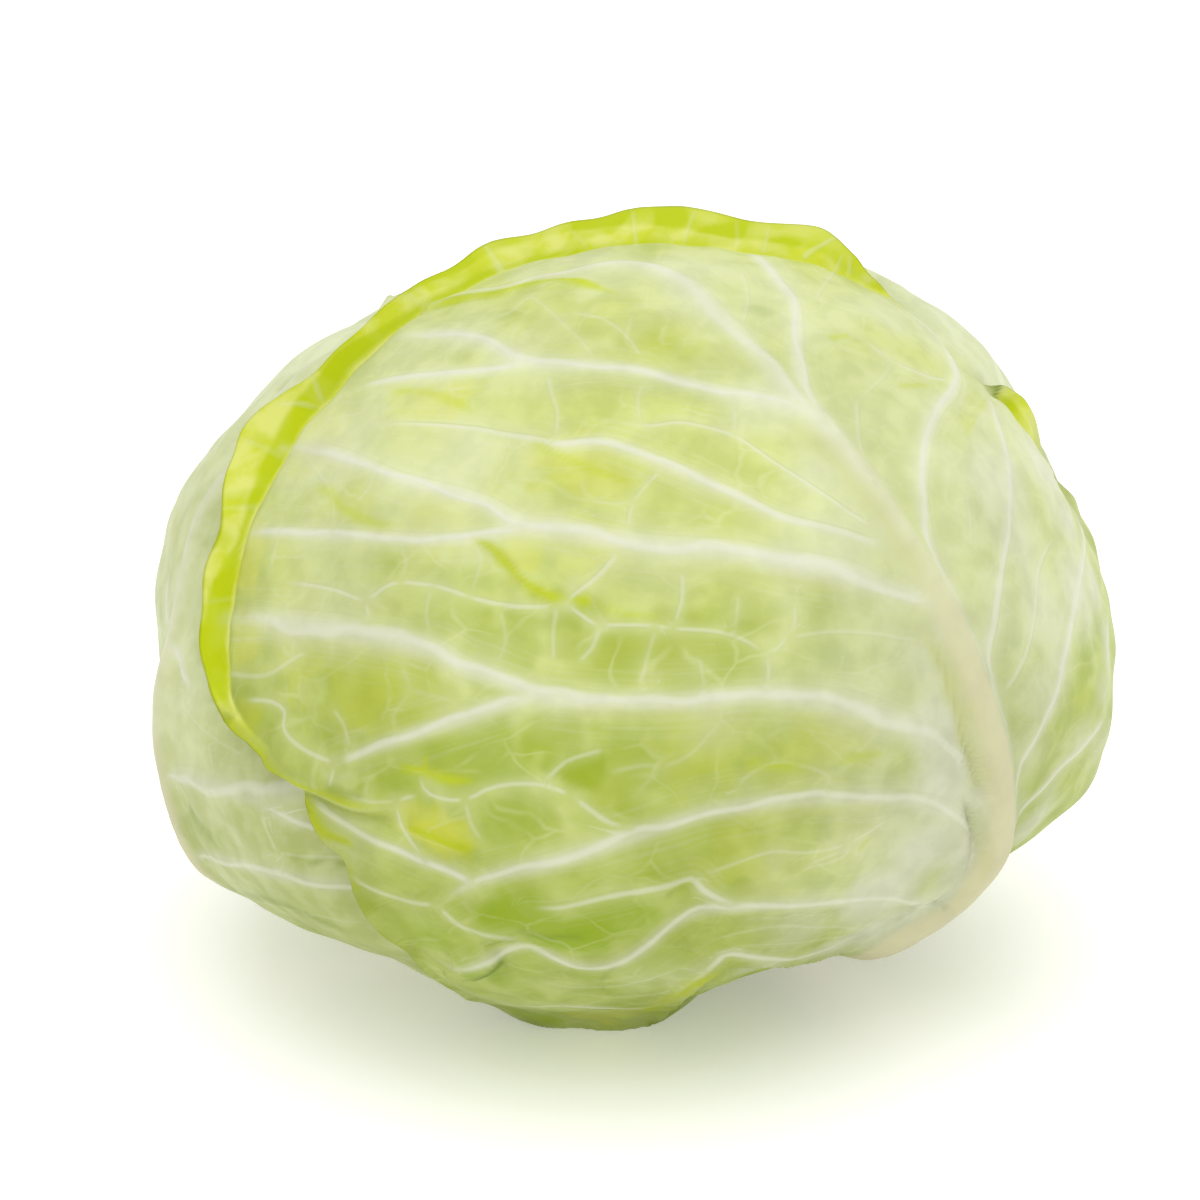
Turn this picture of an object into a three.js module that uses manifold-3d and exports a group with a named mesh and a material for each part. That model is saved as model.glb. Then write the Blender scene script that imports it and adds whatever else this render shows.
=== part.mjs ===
// A green cabbage as picked: a dense heart on its cut stem, wrapped in six loose outer leaves.
// Millimetres, +Z up. The origin is on the surface that the head rests on, under its centre.

import * as THREE from 'three';
import { mergeVertices } from 'three/addons/utils/BufferGeometryUtils.js';
import Module from 'manifold-3d';

const wasm = await Module();
wasm.setup();

// Form of the whole head
const GIRTH_RADIUS = 97.5;
const CROWN_RADIUS = 86;
const UNDERSIDE_RADIUS = 67;
const CROWN_LEAN = 10;
const CENTRE_HEIGHT = 65.5;

// Stem, which leaves the head downwards and to the right
const STEM_DIRECTION = new THREE.Vector3(0.45, -0.05, -0.89).normalize();
const STEM_RADIUS = 15.5;
const STEM_END = 61;
const CORE_TIP = -14;
const STEM_SIDES = 20;
const CUT_CHAMFER = 1.2;
const CORE_PROFILE = [[6, CORE_TIP + 5], [9.5, 14], [12.5, 38], [STEM_RADIUS, 52]];
const STEM_LOOK = { colour: 0xe6e3c4, roughness: 0.6 };
const HEART_LOOK = { colour: 0xd9e2b0, roughness: 0.55 };

// Leaves
const BLADE_THICKNESS = 1.4;
const LEAF_GAP = 1;
const LAYER = BLADE_THICKNESS + LEAF_GAP;
const TOUCH_GAP = 0.35;
const RECESS_REACH = 9;
const RECESS_FADE = 12;
const RIB_ROOT = 0.8;
const LEAF_ROUGHNESS = 0.5;

// Fineness: splits of a grid's twenty starting triangles, points round a leaf's edge, and rings and
// length of the wedge that cuts its outline
const COARSE = { splits: 8, samples: 44 };
const FINE = { splits: 11, samples: 84 };
const WEDGE_RINGS = 8;
const WEDGE_LENGTH = 1.5 * GIRTH_RADIUS;
const WELD_TOLERANCE = 1e-5;

// View that the front leaf's veins were read from: elevation, distance of the eye from the
// head's centre, pixels for each millimetre at the centre, and the centre's own pixel
const VIEW_ELEVATION = THREE.MathUtils.degToRad(20);
const VIEW_DISTANCE = 650;
const PIXELS_PER_MM = 4.84;
const CENTRE_PIXEL = [634, 645];
const SIGHT_PASSES = 12;

const toEye = new THREE.Vector3(0, -Math.cos(VIEW_ELEVATION), Math.sin(VIEW_ELEVATION));
const viewRight = new THREE.Vector3(1, 0, 0);
const viewUp = new THREE.Vector3(0, Math.sin(VIEW_ELEVATION), Math.cos(VIEW_ELEVATION));
const centre = new THREE.Vector3(0, 0, CENTRE_HEIGHT);

const rad = THREE.MathUtils.degToRad;
const deg = THREE.MathUtils.radToDeg;
const smooth = THREE.MathUtils.smoothstep;
const mix = THREE.MathUtils.lerp;

// Direction that lies so many degrees away from a middle direction, turned from its right to its up
function aim(middle, right, up, turn, away) {
  const t = rad(turn);
  const a = rad(away);
  return middle.clone().multiplyScalar(Math.cos(a))
    .addScaledVector(right, Math.sin(a) * Math.cos(t))
    .addScaledVector(up, Math.sin(a) * Math.sin(t));
}

// Bulges and dents of the head: turn and degrees away as seen from the front, height, width in degrees
const BULGES = [
  [196, 85, 3.5, 15], [345, 85, 6.8, 13], [22, 85, -3.5, 14], [232, 85, -9.5, 9], [268, 85, 8, 9],
  [293, 85, -8, 8], [314, 85, 3.5, 8], [330, 85, -3, 6], [160, 85, 4.5, 9], [184, 86, -3.5, 8],
  [116, 78, -3.5, 14], [76, 80, -1, 12], [153, 85, -2.2, 6], [232, 85, -4, 5], [257, 85, 3, 5],
  [291, 85, -2.6, 7], [320, 85, 1.5, 5], [352, 85, -1.6, 6], [15, 85, 1.2, 4], [27, 79, -3.2, 5],
  [38, 85, 1.6, 5], [66, 78, 2, 4], [102, 80, -1.4, 7], [125, 80, -2, 6], [141, 85, 1.5, 5],
  [195, 85, -2.2, 5], [207, 85, 1.4, 5], [222, 85, -1, 5], [190, 84, 1.4, 4], [223, 68, -1.2, 4],
  [233, 62, -4.5, 5], [256, 76, 1.8, 4], [266, 77, 1.2, 4], [290, 62, -2.4, 7], [300, 66, -1.4, 5],
  [342, 77, 0.9, 5], [128, 97, -1.2, 6],
].map(([turn, away, height, width]) => ({
  at: aim(toEye, viewRight, viewUp, turn, away), height, width: rad(width),
}));
const crownAxis = new THREE.Vector3(-Math.sin(rad(CROWN_LEAN)), 0, Math.cos(rad(CROWN_LEAN)));

// Radius of the head's outer surface in a direction: a flattened round with its bulges
function headRadius(d) {
  const c = d.dot(crownAxis);
  const pole = c > 0 ? CROWN_RADIUS : UNDERSIDE_RADIUS;
  let r = 1 / Math.sqrt((c / pole) ** 2 + (1 - c * c) / GIRTH_RADIUS ** 2);
  for (const bulge of BULGES) {
    const angle = Math.acos(THREE.MathUtils.clamp(d.dot(bulge.at), -1, 1));
    r += bulge.height * Math.exp(-0.5 * (angle / bulge.width) ** 2);
  }
  return r;
}

// Radius at a depth under the outer surface, flattened where the head rests
function radiusAt(d, depth, lift = 0) {
  const r = headRadius(d) - depth + lift;
  return d.z < 0 ? Math.min(r, (CENTRE_HEIGHT - depth) / -d.z) : r;
}

// Direction in which a pixel of the view sees the head: the sight line is cut with a sphere whose
// radius is taken from the head again at each pass
function seen([px, py]) {
  const eye = toEye.clone().multiplyScalar(VIEW_DISTANCE);
  const ray = toEye.clone().negate()
    .addScaledVector(viewRight, (px - CENTRE_PIXEL[0]) / (PIXELS_PER_MM * VIEW_DISTANCE))
    .addScaledVector(viewUp, -(py - CENTRE_PIXEL[1]) / (PIXELS_PER_MM * VIEW_DISTANCE))
    .normalize();
  const nearest = -ray.dot(eye);
  const gap = VIEW_DISTANCE ** 2 - nearest ** 2;
  const d = new THREE.Vector3();
  let radius = GIRTH_RADIUS;
  for (let pass = 0; pass < SIGHT_PASSES; pass += 1) {
    const along = nearest - Math.sqrt(Math.max(0, radius ** 2 - gap));
    d.copy(eye).addScaledVector(ray, along).normalize();
    radius = headRadius(d);
  }
  return d;
}

// Outline of a leaf in degrees from its middle, by turn, joined by a closed smooth curve
function outline(points) {
  const turns = points.map(([turn]) => turn);
  return (turn) => {
    const t = ((turn - turns[0]) % 360 + 360) % 360 + turns[0];
    const n = points.length;
    let i = n - 1;
    while (i > 0 && turns[i] > t) i -= 1;
    const value = (k) => points[(k + n) % n][1];
    const next = i + 1 < n ? turns[i + 1] : turns[0] + 360;
    const u = (t - turns[i]) / (next - turns[i]);
    const [a, b, c, e] = [value(i - 1), value(i), value(i + 1), value(i + 2)];
    return b + 0.5 * u * (c - a + u * (2 * a - 5 * b + 4 * c - e + u * (3 * (b - c) + e - a)));
  };
}

// Frame of a leaf that grows up a meridian of the head, at a turn round the stem from the front
const growAxis = STEM_DIRECTION.clone().negate();
const growFront = toEye.clone().addScaledVector(growAxis, -toEye.dot(growAxis)).normalize();
const growRight = growAxis.clone().cross(growFront);
function meridianFrame(turn, climb) {
  const side = growFront.clone().multiplyScalar(Math.cos(rad(turn)))
    .addScaledVector(growRight, Math.sin(rad(turn)));
  const middle = growAxis.clone().multiplyScalar(-Math.cos(rad(climb)))
    .addScaledVector(side, Math.sin(rad(climb)));
  const up = growAxis.clone().multiplyScalar(Math.sin(rad(climb)))
    .addScaledVector(side, Math.cos(rad(climb)));
  return { middle, up, right: up.clone().cross(middle) };
}

// Front leaf: outline by turn from the view's right, and margin that stands off the head
const FRONT_OUTLINE = [
  [0, 92], [12, 87], [20, 80], [26, 74], [30, 72], [33, 73], [36, 66], [41, 64], [47, 66.5], [53, 68],
  [60, 73], [68, 75], [80, 75.5], [95, 75.5], [108, 75.5], [120, 71], [133, 64.5], [141, 64], [146, 65],
  [152, 63.5], [158, 60], [164, 57.8], [170, 57], [177, 56.6], [185, 54.9], [189, 52.6], [191.5, 51.4],
  [194, 49], [198, 46.4], [202, 43], [206, 43.2], [210, 43.6], [217, 43], [223, 45.5], [228, 48],
  [235, 50], [242, 62], [250, 76], [262, 82], [275, 83], [286, 90], [298, 100], [308, 98], [318, 93],
  [332, 92], [346, 96],
];
const FRONT_BRIM = [
  [0, 0.3], [20, 1], [28, 2.4], [33, 3], [38, 1], [47, 1.6], [55, 3], [62, 4.6], [80, 5], [100, 4.6],
  [120, 4.4], [140, 4.4], [160, 4.4], [172, 3.8], [180, 3], [188, 1.8], [195, 1.2], [203, 0.7],
  [225, 1.2], [245, 0.8], [270, 1], [300, 0], [340, 0.3],
];
const BRIM_WIDTH = 6.5;
const BRIM_MOST = 1.6;
const BRIM_POWER = 1.5;

// Front leaf: midrib and main side ribs, from the pixels that they cross in the view
const FRONT_MIDRIB = [
  [900, 944], [955, 905], [992, 845], [1008, 770], [990, 690], [960, 620], [920, 560], [870, 490],
  [810, 410], [760, 350], [700, 300], [640, 264], [560, 272], [500, 285], [420, 312],
];
const MIDRIB_ROOT_SHARES = [0.5, 0.15];
const FRONT_SIDE_RIBS = [
  [[800, 415], [760, 398], [700, 388], [600, 368], [540, 368], [440, 335], [390, 345]],
  [[870, 530], [780, 515], [680, 470], [580, 443], [490, 430], [370, 422]],
  [[950, 625], [900, 590], [840, 575], [700, 550], [530, 530], [410, 485], [300, 445]],
  [[985, 790], [950, 740], [850, 700], [720, 700], [530, 695], [420, 645], [300, 625], [225, 622]],
  [[530, 695], [420, 735], [335, 763], [275, 715]],
  [[962, 815], [880, 797], [740, 808], [640, 838], [530, 870], [440, 905], [340, 880]],
  [[935, 893], [800, 903], [700, 912], [640, 955], [570, 968], [510, 948], [430, 955]],
  [[850, 940], [720, 950], [660, 1003], [560, 1006], [450, 985]],
  [[820, 420], [800, 370], [797, 300], [755, 250]],
  [[955, 600], [922, 520], [922, 440], [955, 385], [930, 335], [880, 300]],
  [[990, 690], [1000, 590], [1010, 480], [980, 395]],
  [[1008, 720], [1035, 620], [1058, 520]],
  [[1010, 780], [1060, 680], [1085, 560], [1060, 485], [1025, 430]],
  [[1010, 830], [1050, 785], [1105, 715]],
];

// Outline and ribs shared by the leaves that the front leaf covers in part
const LEAF_OUTLINE = [
  [-90, 96], [-80, 82], [-68, 70], [-48, 70], [-25, 74], [0, 78], [25, 80], [48, 83], [68, 81],
  [90, 84], [110, 82], [132, 84], [155, 80], [180, 77], [205, 73], [228, 69], [248, 70], [260, 82],
];
const MIDRIB_START = -92;
const MIDRIB_END = 74;
const MIDRIB_POINTS = 9;
const SIDE_RIB_STARTS = [-58, -30, -2, 28];
const SIDE_RIB_SPAN = 62;
const SIDE_RIB_CLIMB = [30, 34, 33, 26];
const SIDE_RIB_SHARES = [0, 0.33, 0.67, 1];
const CLIMB_EASE = 0.25;
const PAIR_STAGGER = 4;
const LEAF_BRIM = 2.4;
const LEAF_BRIM_WIDTH = 11;
const WAVES = 11;
const WAVE_HEIGHT = 1.6;
const OUTLINE_WAVE = 1.7;
const OUTLINE_WAVES = 7;
const WAVE_TURNS = [-60, -30];

// Rib sizes: half width and height at the root and at the tip, length of a step, and the section
// from one edge over the top to the other, in half widths and heights
const MIDRIB = {
  rootWidth: 7.2, tipWidth: 2.2, rootHeight: 4.2, tipHeight: 0.9, step: 13,
  section: [[1, 0], [0.78, 0.62], [0.3, 1], [-0.3, 1], [-0.78, 0.62], [-1, 0]],
};
const SIDE_RIB = {
  rootWidth: 2.4, tipWidth: 1.1, rootHeight: 1.3, tipHeight: 0.5, step: 18,
  section: [[1, 0], [0.4, 1], [-0.4, 1], [-1, 0]],
};
const PLAIN_MIDRIB = { ...MIDRIB, step: 16 };
const PLAIN_SIDE_RIB = {
  ...SIDE_RIB, rootHeight: 1.6, step: 15, section: [[1, 0], [0, 1.1], [-1, 0]],
};
const LEAST_BARE = 0.4;
const RIB_END_LIFT = 0.5;

const LEAVES = [
  { name: 'front_leaf', colour: 0xd4de9a, front: true },
  { name: 'left_leaf', colour: 0xcfdca8, turn: -84, climb: 94, bend: 0, sway: -10, wide: 1.0 },
  { name: 'right_back_leaf', colour: 0xd6e0b4, turn: 150, climb: 96, bend: 5, wide: 1.03 },
  { name: 'under_leaf', colour: 0xb9cc7e, turn: -8, climb: 90, bend: 4, wide: 0.98 },
  { name: 'left_back_leaf', colour: 0xcddaa2, turn: -150, climb: 97, bend: -5, wide: 1.02 },
  { name: 'right_under_leaf', colour: 0xc3d38d, turn: 76, climb: 95, bend: 5, wide: 1.0 },
];

// Point of a leaf's own flat map, in degrees to the right and towards the tip, as a direction
function onMap(leaf, x, y) {
  return aim(leaf.middle, leaf.right, leaf.up, deg(Math.atan2(y, x)), Math.hypot(x, y));
}

// Ribs of a covered leaf: a midrib that bends one way or sways both ways, and side ribs that leave
// it in pairs and climb
function plainRibs(leaf) {
  const { bend, sway = 0 } = leaf;
  const phase = (y) => Math.PI * (y - MIDRIB_START) / (MIDRIB_END - MIDRIB_START);
  const midAt = (y) => bend * Math.sin(phase(y)) + sway * Math.sin(2 * phase(y));
  const midrib = [];
  for (let i = 0; i < MIDRIB_POINTS; i += 1) {
    const y = mix(MIDRIB_START, MIDRIB_END, i / (MIDRIB_POINTS - 1));
    midrib.push(onMap(leaf, midAt(y), y));
  }
  const ribs = [{ path: midrib, size: PLAIN_MIDRIB }];
  SIDE_RIB_STARTS.forEach((start, pair) => {
    for (const side of [-1, 1]) {
      const root = start + PAIR_STAGGER * side;
      const path = SIDE_RIB_SHARES.map((u) => onMap(
        leaf,
        midAt(root) + side * SIDE_RIB_SPAN * leaf.wide * u,
        root + SIDE_RIB_CLIMB[pair] * Math.sqrt(u) * (1 - CLIMB_EASE * u),
      ));
      ribs.push({ path, size: PLAIN_SIDE_RIB });
    }
  });
  return ribs;
}

for (const leaf of LEAVES) {
  if (leaf.front) {
    Object.assign(leaf, FINE, { middle: toEye, right: viewRight, up: viewUp });
    leaf.reach = outline(FRONT_OUTLINE);
    leaf.brim = outline(FRONT_BRIM);
    leaf.brimWidth = BRIM_WIDTH;
    const seenBase = seen(FRONT_MIDRIB[0]);
    const midrib = FRONT_MIDRIB.map(seen);
    for (const share of MIDRIB_ROOT_SHARES) {
      midrib.unshift(STEM_DIRECTION.clone().lerp(seenBase, share).normalize());
    }
    leaf.ribs = FRONT_SIDE_RIBS.map((pixels) => ({ path: pixels.map(seen), size: SIDE_RIB }));
    leaf.ribs.unshift({ path: midrib, size: MIDRIB });
  } else {
    Object.assign(leaf, COARSE, meridianFrame(leaf.turn, leaf.climb));
    const shape = outline(LEAF_OUTLINE);
    leaf.reach = (turn) => mix(shape(turn), shape(turn) * leaf.wide, Math.abs(Math.cos(rad(turn))))
      + OUTLINE_WAVE * Math.sin(rad(OUTLINE_WAVES * turn + leaf.turn)) * smooth(turn, ...WAVE_TURNS);
    leaf.brim = (turn) => LEAF_BRIM + WAVE_HEIGHT * Math.sin(rad(WAVES * turn + leaf.turn));
    leaf.brimWidth = LEAF_BRIM_WIDTH;
    leaf.ribs = plainRibs(leaf);
  }
  leaf.rim = Array.from({ length: leaf.samples }, (_, i) => {
    const turn = (i / leaf.samples) * 360 - 90;
    return aim(leaf.middle, leaf.right, leaf.up, turn, leaf.reach(turn));
  });
}

// Turn and degrees away of a direction on a leaf's map
function mapPlace(leaf, d) {
  const away = deg(Math.acos(THREE.MathUtils.clamp(d.dot(leaf.middle), -1, 1)));
  let turn = deg(Math.atan2(d.dot(leaf.up), d.dot(leaf.right)));
  if (turn < -90) turn += 360;
  return { turn, away };
}

// How fully a leaf covers a direction: all of it inside the outline and just outside, then fading
function cover(leaf, d) {
  const { turn, away } = mapPlace(leaf, d);
  if (away <= leaf.reach(turn)) return 1;
  let closest = -1;
  for (const edge of leaf.rim) closest = Math.max(closest, edge.dot(d));
  const outside = deg(Math.acos(Math.min(1, closest)));
  return 1 - smooth(outside, RECESS_REACH, RECESS_REACH + RECESS_FADE);
}

// Depth of a layer under the head's outer surface, below all leaves that lie further out
function depthUnder(count, d) {
  let depth = 0;
  for (let i = 0; i < count; i += 1) depth += LAYER * cover(LEAVES[i], d);
  return depth;
}

// Solid from a closed triangle mesh
function solid(positions, indices) {
  return new wasm.Manifold(new wasm.Mesh({
    numProp: 3,
    vertProperties: Float32Array.from(positions),
    triVerts: Uint32Array.from(indices),
  }));
}
function solidOf(geometry) {
  geometry.deleteAttribute('normal');
  geometry.deleteAttribute('uv');
  const welded = mergeVertices(geometry, WELD_TOLERANCE);
  return solid(welded.attributes.position.array, welded.index.array);
}

// Directions and triangles of an even grid round the head
const grids = new Map();
function directionGrid(splits) {
  if (!grids.has(splits)) {
    const geometry = new THREE.IcosahedronGeometry(1, splits - 1);
    geometry.deleteAttribute('normal');
    geometry.deleteAttribute('uv');
    const welded = mergeVertices(geometry, WELD_TOLERANCE);
    const place = welded.attributes.position;
    const directions = [];
    for (let i = 0; i < place.count; i += 1) {
      directions.push(new THREE.Vector3().fromBufferAttribute(place, i).normalize());
    }
    grids.set(splits, { directions, triangles: Array.from(welded.index.array) });
  }
  return grids.get(splits);
}
function layerPoints(directions, radii) {
  return directions.flatMap((d, i) => d.clone().multiplyScalar(radii[i]).add(centre).toArray());
}

// Wedge that holds all that lies inside a leaf's outline, from the head's centre outwards
function outlineWedge(leaf) {
  const rings = WEDGE_RINGS;
  const positions = [...centre.toArray()];
  const indices = [];
  positions.push(...leaf.middle.clone().multiplyScalar(WEDGE_LENGTH).add(centre).toArray());
  const n = leaf.samples;
  for (let ring = 1; ring <= rings; ring += 1) {
    for (let i = 0; i < n; i += 1) {
      const turn = (i / n) * 360 - 90;
      const d = aim(leaf.middle, leaf.right, leaf.up, turn, leaf.reach(turn) * ring / rings);
      positions.push(...d.multiplyScalar(WEDGE_LENGTH).add(centre).toArray());
    }
  }
  const at = (ring, i) => 2 + (ring - 1) * n + (i % n);
  for (let i = 0; i < n; i += 1) {
    indices.push(1, at(1, i), at(1, i + 1));
    indices.push(0, at(rings, i + 1), at(rings, i));
    for (let ring = 1; ring < rings; ring += 1) {
      indices.push(at(ring, i), at(ring + 1, i), at(ring + 1, i + 1));
      indices.push(at(ring, i), at(ring + 1, i + 1), at(ring, i + 1));
    }
  }
  return solid(positions, indices);
}

// Height by which a leaf's margin stands off the head, where nothing lies over it
function brimLift(leaf, order, d) {
  const { turn, away } = mapPlace(leaf, d);
  const inside = leaf.reach(turn) - away;
  const rise = THREE.MathUtils.clamp(1 - inside / leaf.brimWidth, 0, BRIM_MOST) ** BRIM_POWER;
  if (rise === 0) return 0;
  let free = 1;
  for (let i = 0; i < order; i += 1) free *= 1 - cover(LEAVES[i], d);
  return Math.max(0, leaf.brim(turn)) * rise * free;
}

// Blade of a leaf: a shell of even thickness inside the leaf's outline
function blade(leaf, order) {
  const { directions, triangles } = directionGrid(leaf.splits);
  const outer = [];
  const inner = [];
  for (const d of directions) {
    const depth = depthUnder(order, d);
    const lift = brimLift(leaf, order, d);
    outer.push(radiusAt(d, depth, lift));
    inner.push(radiusAt(d, depth + BLADE_THICKNESS, lift));
  }
  const count = directions.length;
  const positions = layerPoints(directions, outer).concat(layerPoints(directions, inner));
  const indices = triangles.slice();
  for (let i = 0; i < triangles.length; i += 3) {
    indices.push(triangles[i] + count, triangles[i + 2] + count, triangles[i + 1] + count);
  }
  return solid(positions, indices).intersect(outlineWedge(leaf));
}

// Rib: a rounded ridge swept along the bare stretch of its path, sunk into the blade by its root,
// which ends where the margin begins to stand off
function rib(leaf, { path, size }, order) {
  const curve = new THREE.CatmullRomCurve3(path, false, 'centripetal');
  const steps = Math.max(3, Math.round((curve.getLength() * GIRTH_RADIUS) / size.step));
  const rows = curve.getSpacedPoints(steps).map((p) => p.normalize());
  const bare = rows.map((d) => (brimLift(leaf, order, d) > RIB_END_LIFT
    ? 0 : Math.max(0, 1 - depthUnder(order, d) / LAYER)));
  const first = bare.findIndex((share) => share > LEAST_BARE);
  const last = bare.findLastIndex((share) => share > LEAST_BARE);
  if (last - first < 2) return null;
  const positions = [];
  const indices = [];
  const ring = size.section.length;
  for (let row = first; row <= last; row += 1) {
    const d = rows[row];
    const u = row / steps;
    const along = rows[Math.min(row + 1, steps)].clone().sub(rows[Math.max(row - 1, 0)]);
    const across = along.cross(d).normalize();
    const halfWidth = mix(size.rootWidth, size.tipWidth, Math.sqrt(u));
    const height = mix(size.rootHeight, size.tipHeight, u) * bare[row];
    const base = radiusAt(d, depthUnder(order, d), brimLift(leaf, order, d));
    for (const [sideways, up] of size.section) {
      const place = d.clone().multiplyScalar(base - RIB_ROOT + up * (height + RIB_ROOT))
        .addScaledVector(across, sideways * halfWidth);
      const toFloor = place.z < -CENTRE_HEIGHT ? CENTRE_HEIGHT / -place.z : 1;
      positions.push(...place.multiplyScalar(toFloor).add(centre).toArray());
    }
  }
  const end = (last - first) * ring;
  for (let a = 0; a < end; a += ring) {
    for (let i = 0; i < ring; i += 1) {
      const next = (i + 1) % ring;
      indices.push(a + i, a + next + ring, a + next, a + i, a + i + ring, a + next + ring);
    }
  }
  for (let i = 1; i < ring - 1; i += 1) {
    indices.push(0, i, i + 1);
    indices.push(end, end + i + 1, end + i);
  }
  return solid(positions, indices);
}

// Stem and core: turned about the growth axis, with a flat cut face
function stemSolid() {
  return turned([
    [0, CORE_TIP], ...CORE_PROFILE,
    [STEM_RADIUS, STEM_END - CUT_CHAMFER], [STEM_RADIUS - CUT_CHAMFER, STEM_END], [0, STEM_END],
  ]);
}

// Space for the stem and core, with a clearance round them, which runs on out of the head
function stemSpace() {
  const end = 2 * UNDERSIDE_RADIUS;
  const sides = CORE_PROFILE.map(([r, y]) => [r + TOUCH_GAP, y]);
  return turned([[0, CORE_TIP - TOUCH_GAP], ...sides, [STEM_RADIUS + TOUCH_GAP, end], [0, end]]);
}

// Solid turned about the stem's axis from its radii and distances along it
function turned(profile) {
  const points = profile.map(([r, y]) => new THREE.Vector2(r, y));
  const geometry = new THREE.LatheGeometry(points, STEM_SIDES);
  const turn = new THREE.Quaternion().setFromUnitVectors(new THREE.Vector3(0, 1, 0), STEM_DIRECTION);
  geometry.applyQuaternion(turn);
  geometry.translate(centre.x, centre.y, centre.z);
  return solidOf(geometry);
}

// Heart: all that lies under the leaves, but for the space of the core
function heartSolid(socket) {
  const { directions, triangles } = directionGrid(COARSE.splits);
  const radii = directions.map((d) => radiusAt(d, depthUnder(LEAVES.length, d) + LEAF_GAP));
  return solid(layerPoints(directions, radii), triangles).subtract(socket);
}

// Triangles of the largest surface of a mesh, which fills the small hollows that a join can seal
function mainSurface(triangles, vertexCount) {
  const parent = Array.from({ length: vertexCount }, (_, i) => i);
  const rootOf = (i) => {
    let root = i;
    while (parent[root] !== root) root = parent[root];
    parent[i] = root;
    return root;
  };
  for (let i = 0; i < triangles.length; i += 3) {
    parent[rootOf(triangles[i + 1])] = rootOf(triangles[i]);
    parent[rootOf(triangles[i + 2])] = rootOf(triangles[i]);
  }
  const tally = new Map();
  for (const corner of triangles) tally.set(rootOf(corner), (tally.get(rootOf(corner)) ?? 0) + 1);
  const largest = [...tally].reduce((a, b) => (b[1] > a[1] ? b : a))[0];
  return triangles.filter((_, i) => rootOf(triangles[i - (i % 3)]) === largest);
}

// Named mesh from a finished solid
function mesh(name, body, { colour, roughness }) {
  const { numProp, vertProperties, triVerts } = body.getMesh();
  const geometry = new THREE.BufferGeometry();
  const positions = new Float32Array((vertProperties.length / numProp) * 3);
  for (let i = 0; i < positions.length / 3; i += 1) {
    for (let axis = 0; axis < 3; axis += 1) positions[3 * i + axis] = vertProperties[numProp * i + axis];
  }
  geometry.setAttribute('position', new THREE.BufferAttribute(positions, 3));
  geometry.setIndex(mainSurface(Array.from(triVerts), positions.length / 3));
  geometry.computeVertexNormals();
  const material = new THREE.MeshStandardMaterial({ color: colour, roughness, metalness: 0 });
  const part = new THREE.Mesh(geometry, material);
  part.name = name;
  return part;
}

const cabbage = new THREE.Group();
const socket = stemSpace();
cabbage.add(mesh('stem', stemSolid(), STEM_LOOK));
cabbage.add(mesh('heart', heartSolid(socket), HEART_LOOK));
LEAVES.forEach((leaf, order) => {
  let body = blade(leaf, order);
  for (const ridge of leaf.ribs) {
    const raised = rib(leaf, ridge, order);
    if (raised) body = body.add(raised);
  }
  const look = { colour: leaf.colour, roughness: LEAF_ROUGHNESS };
  cabbage.add(mesh(leaf.name, body.subtract(socket), look));
});

export default cabbage;
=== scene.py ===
"""A green cabbage as picked: a dense heart on its cut stem, wrapped in six loose outer leaves."""

import math

import bpy
import numpy as np
from bpy.props import FloatProperty, FloatVectorProperty, PointerProperty
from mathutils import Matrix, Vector


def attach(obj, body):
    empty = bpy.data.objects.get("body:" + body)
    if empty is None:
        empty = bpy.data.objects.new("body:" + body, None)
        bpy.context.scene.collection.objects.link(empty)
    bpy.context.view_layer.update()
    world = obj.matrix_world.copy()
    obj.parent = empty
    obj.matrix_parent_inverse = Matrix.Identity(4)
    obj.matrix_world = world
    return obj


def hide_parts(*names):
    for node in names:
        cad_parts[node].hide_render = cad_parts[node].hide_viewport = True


bl_info = {
    "name": "Green cabbage",
    "version": (1, 0, 0),
    "blender": (4, 5, 0),
    "location": "View3D > Sidebar > Cabbage",
    "description": "Builds a green cabbage head with its wrapper leaves, heart and cut stem",
    "category": "Add Mesh",
}

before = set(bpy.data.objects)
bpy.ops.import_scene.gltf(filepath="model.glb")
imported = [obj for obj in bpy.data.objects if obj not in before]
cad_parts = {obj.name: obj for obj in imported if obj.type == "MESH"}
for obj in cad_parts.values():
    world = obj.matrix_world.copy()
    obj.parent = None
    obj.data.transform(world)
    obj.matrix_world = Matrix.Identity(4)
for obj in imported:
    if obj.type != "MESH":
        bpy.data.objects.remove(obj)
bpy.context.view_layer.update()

# Form of the whole head, in millimetres and degrees, about its centre. A direction that sinks by less
# than the least slope never meets the surface that the head rests on
MM = 0.001
GIRTH_RADIUS = 97.5
CROWN_RADIUS = 86.0
UNDERSIDE_RADIUS = 67.0
CROWN_LEAN = 10.0
CENTRE_HEIGHT = 65.5
CENTRE = np.array([0.0, 0.0, CENTRE_HEIGHT])
LEAST_SLOPE = 1e-3

# Stem, which leaves the head downwards and to the right: its radius and how far out along it the cut
# face and the core's tip lie, how hollow the cut face is, its outline as radius and place along, its
# shallow flutes, as height, number round the stem and phase, and its mesh's points round it and step
# along the outline
STEM_RADIUS = 15.5
STEM_END = 61.0
CORE_TIP = -14.0
STEM_HOLLOW = 1.0
STEM_PROFILE = [
    (3.0, CORE_TIP + 1.0), (6.0, CORE_TIP + 5.0), (9.5, 14.0), (12.5, 38.0), (STEM_RADIUS - 0.3, 52.0),
    (STEM_RADIUS, STEM_END - 2.5), (STEM_RADIUS - 0.5, STEM_END - 0.8), (STEM_RADIUS - 1.4, STEM_END),
    (12.0, STEM_END - 0.2), (9.0, STEM_END - 0.7), (6.0, STEM_END - 0.4), (3.0, STEM_END - 0.9),
]
STEM_FLUTES = ((0.02, 9, 0.0), (0.012, 17, 1.0))
STEM_COLUMNS = 72
STEM_STEP = 1.0

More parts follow.
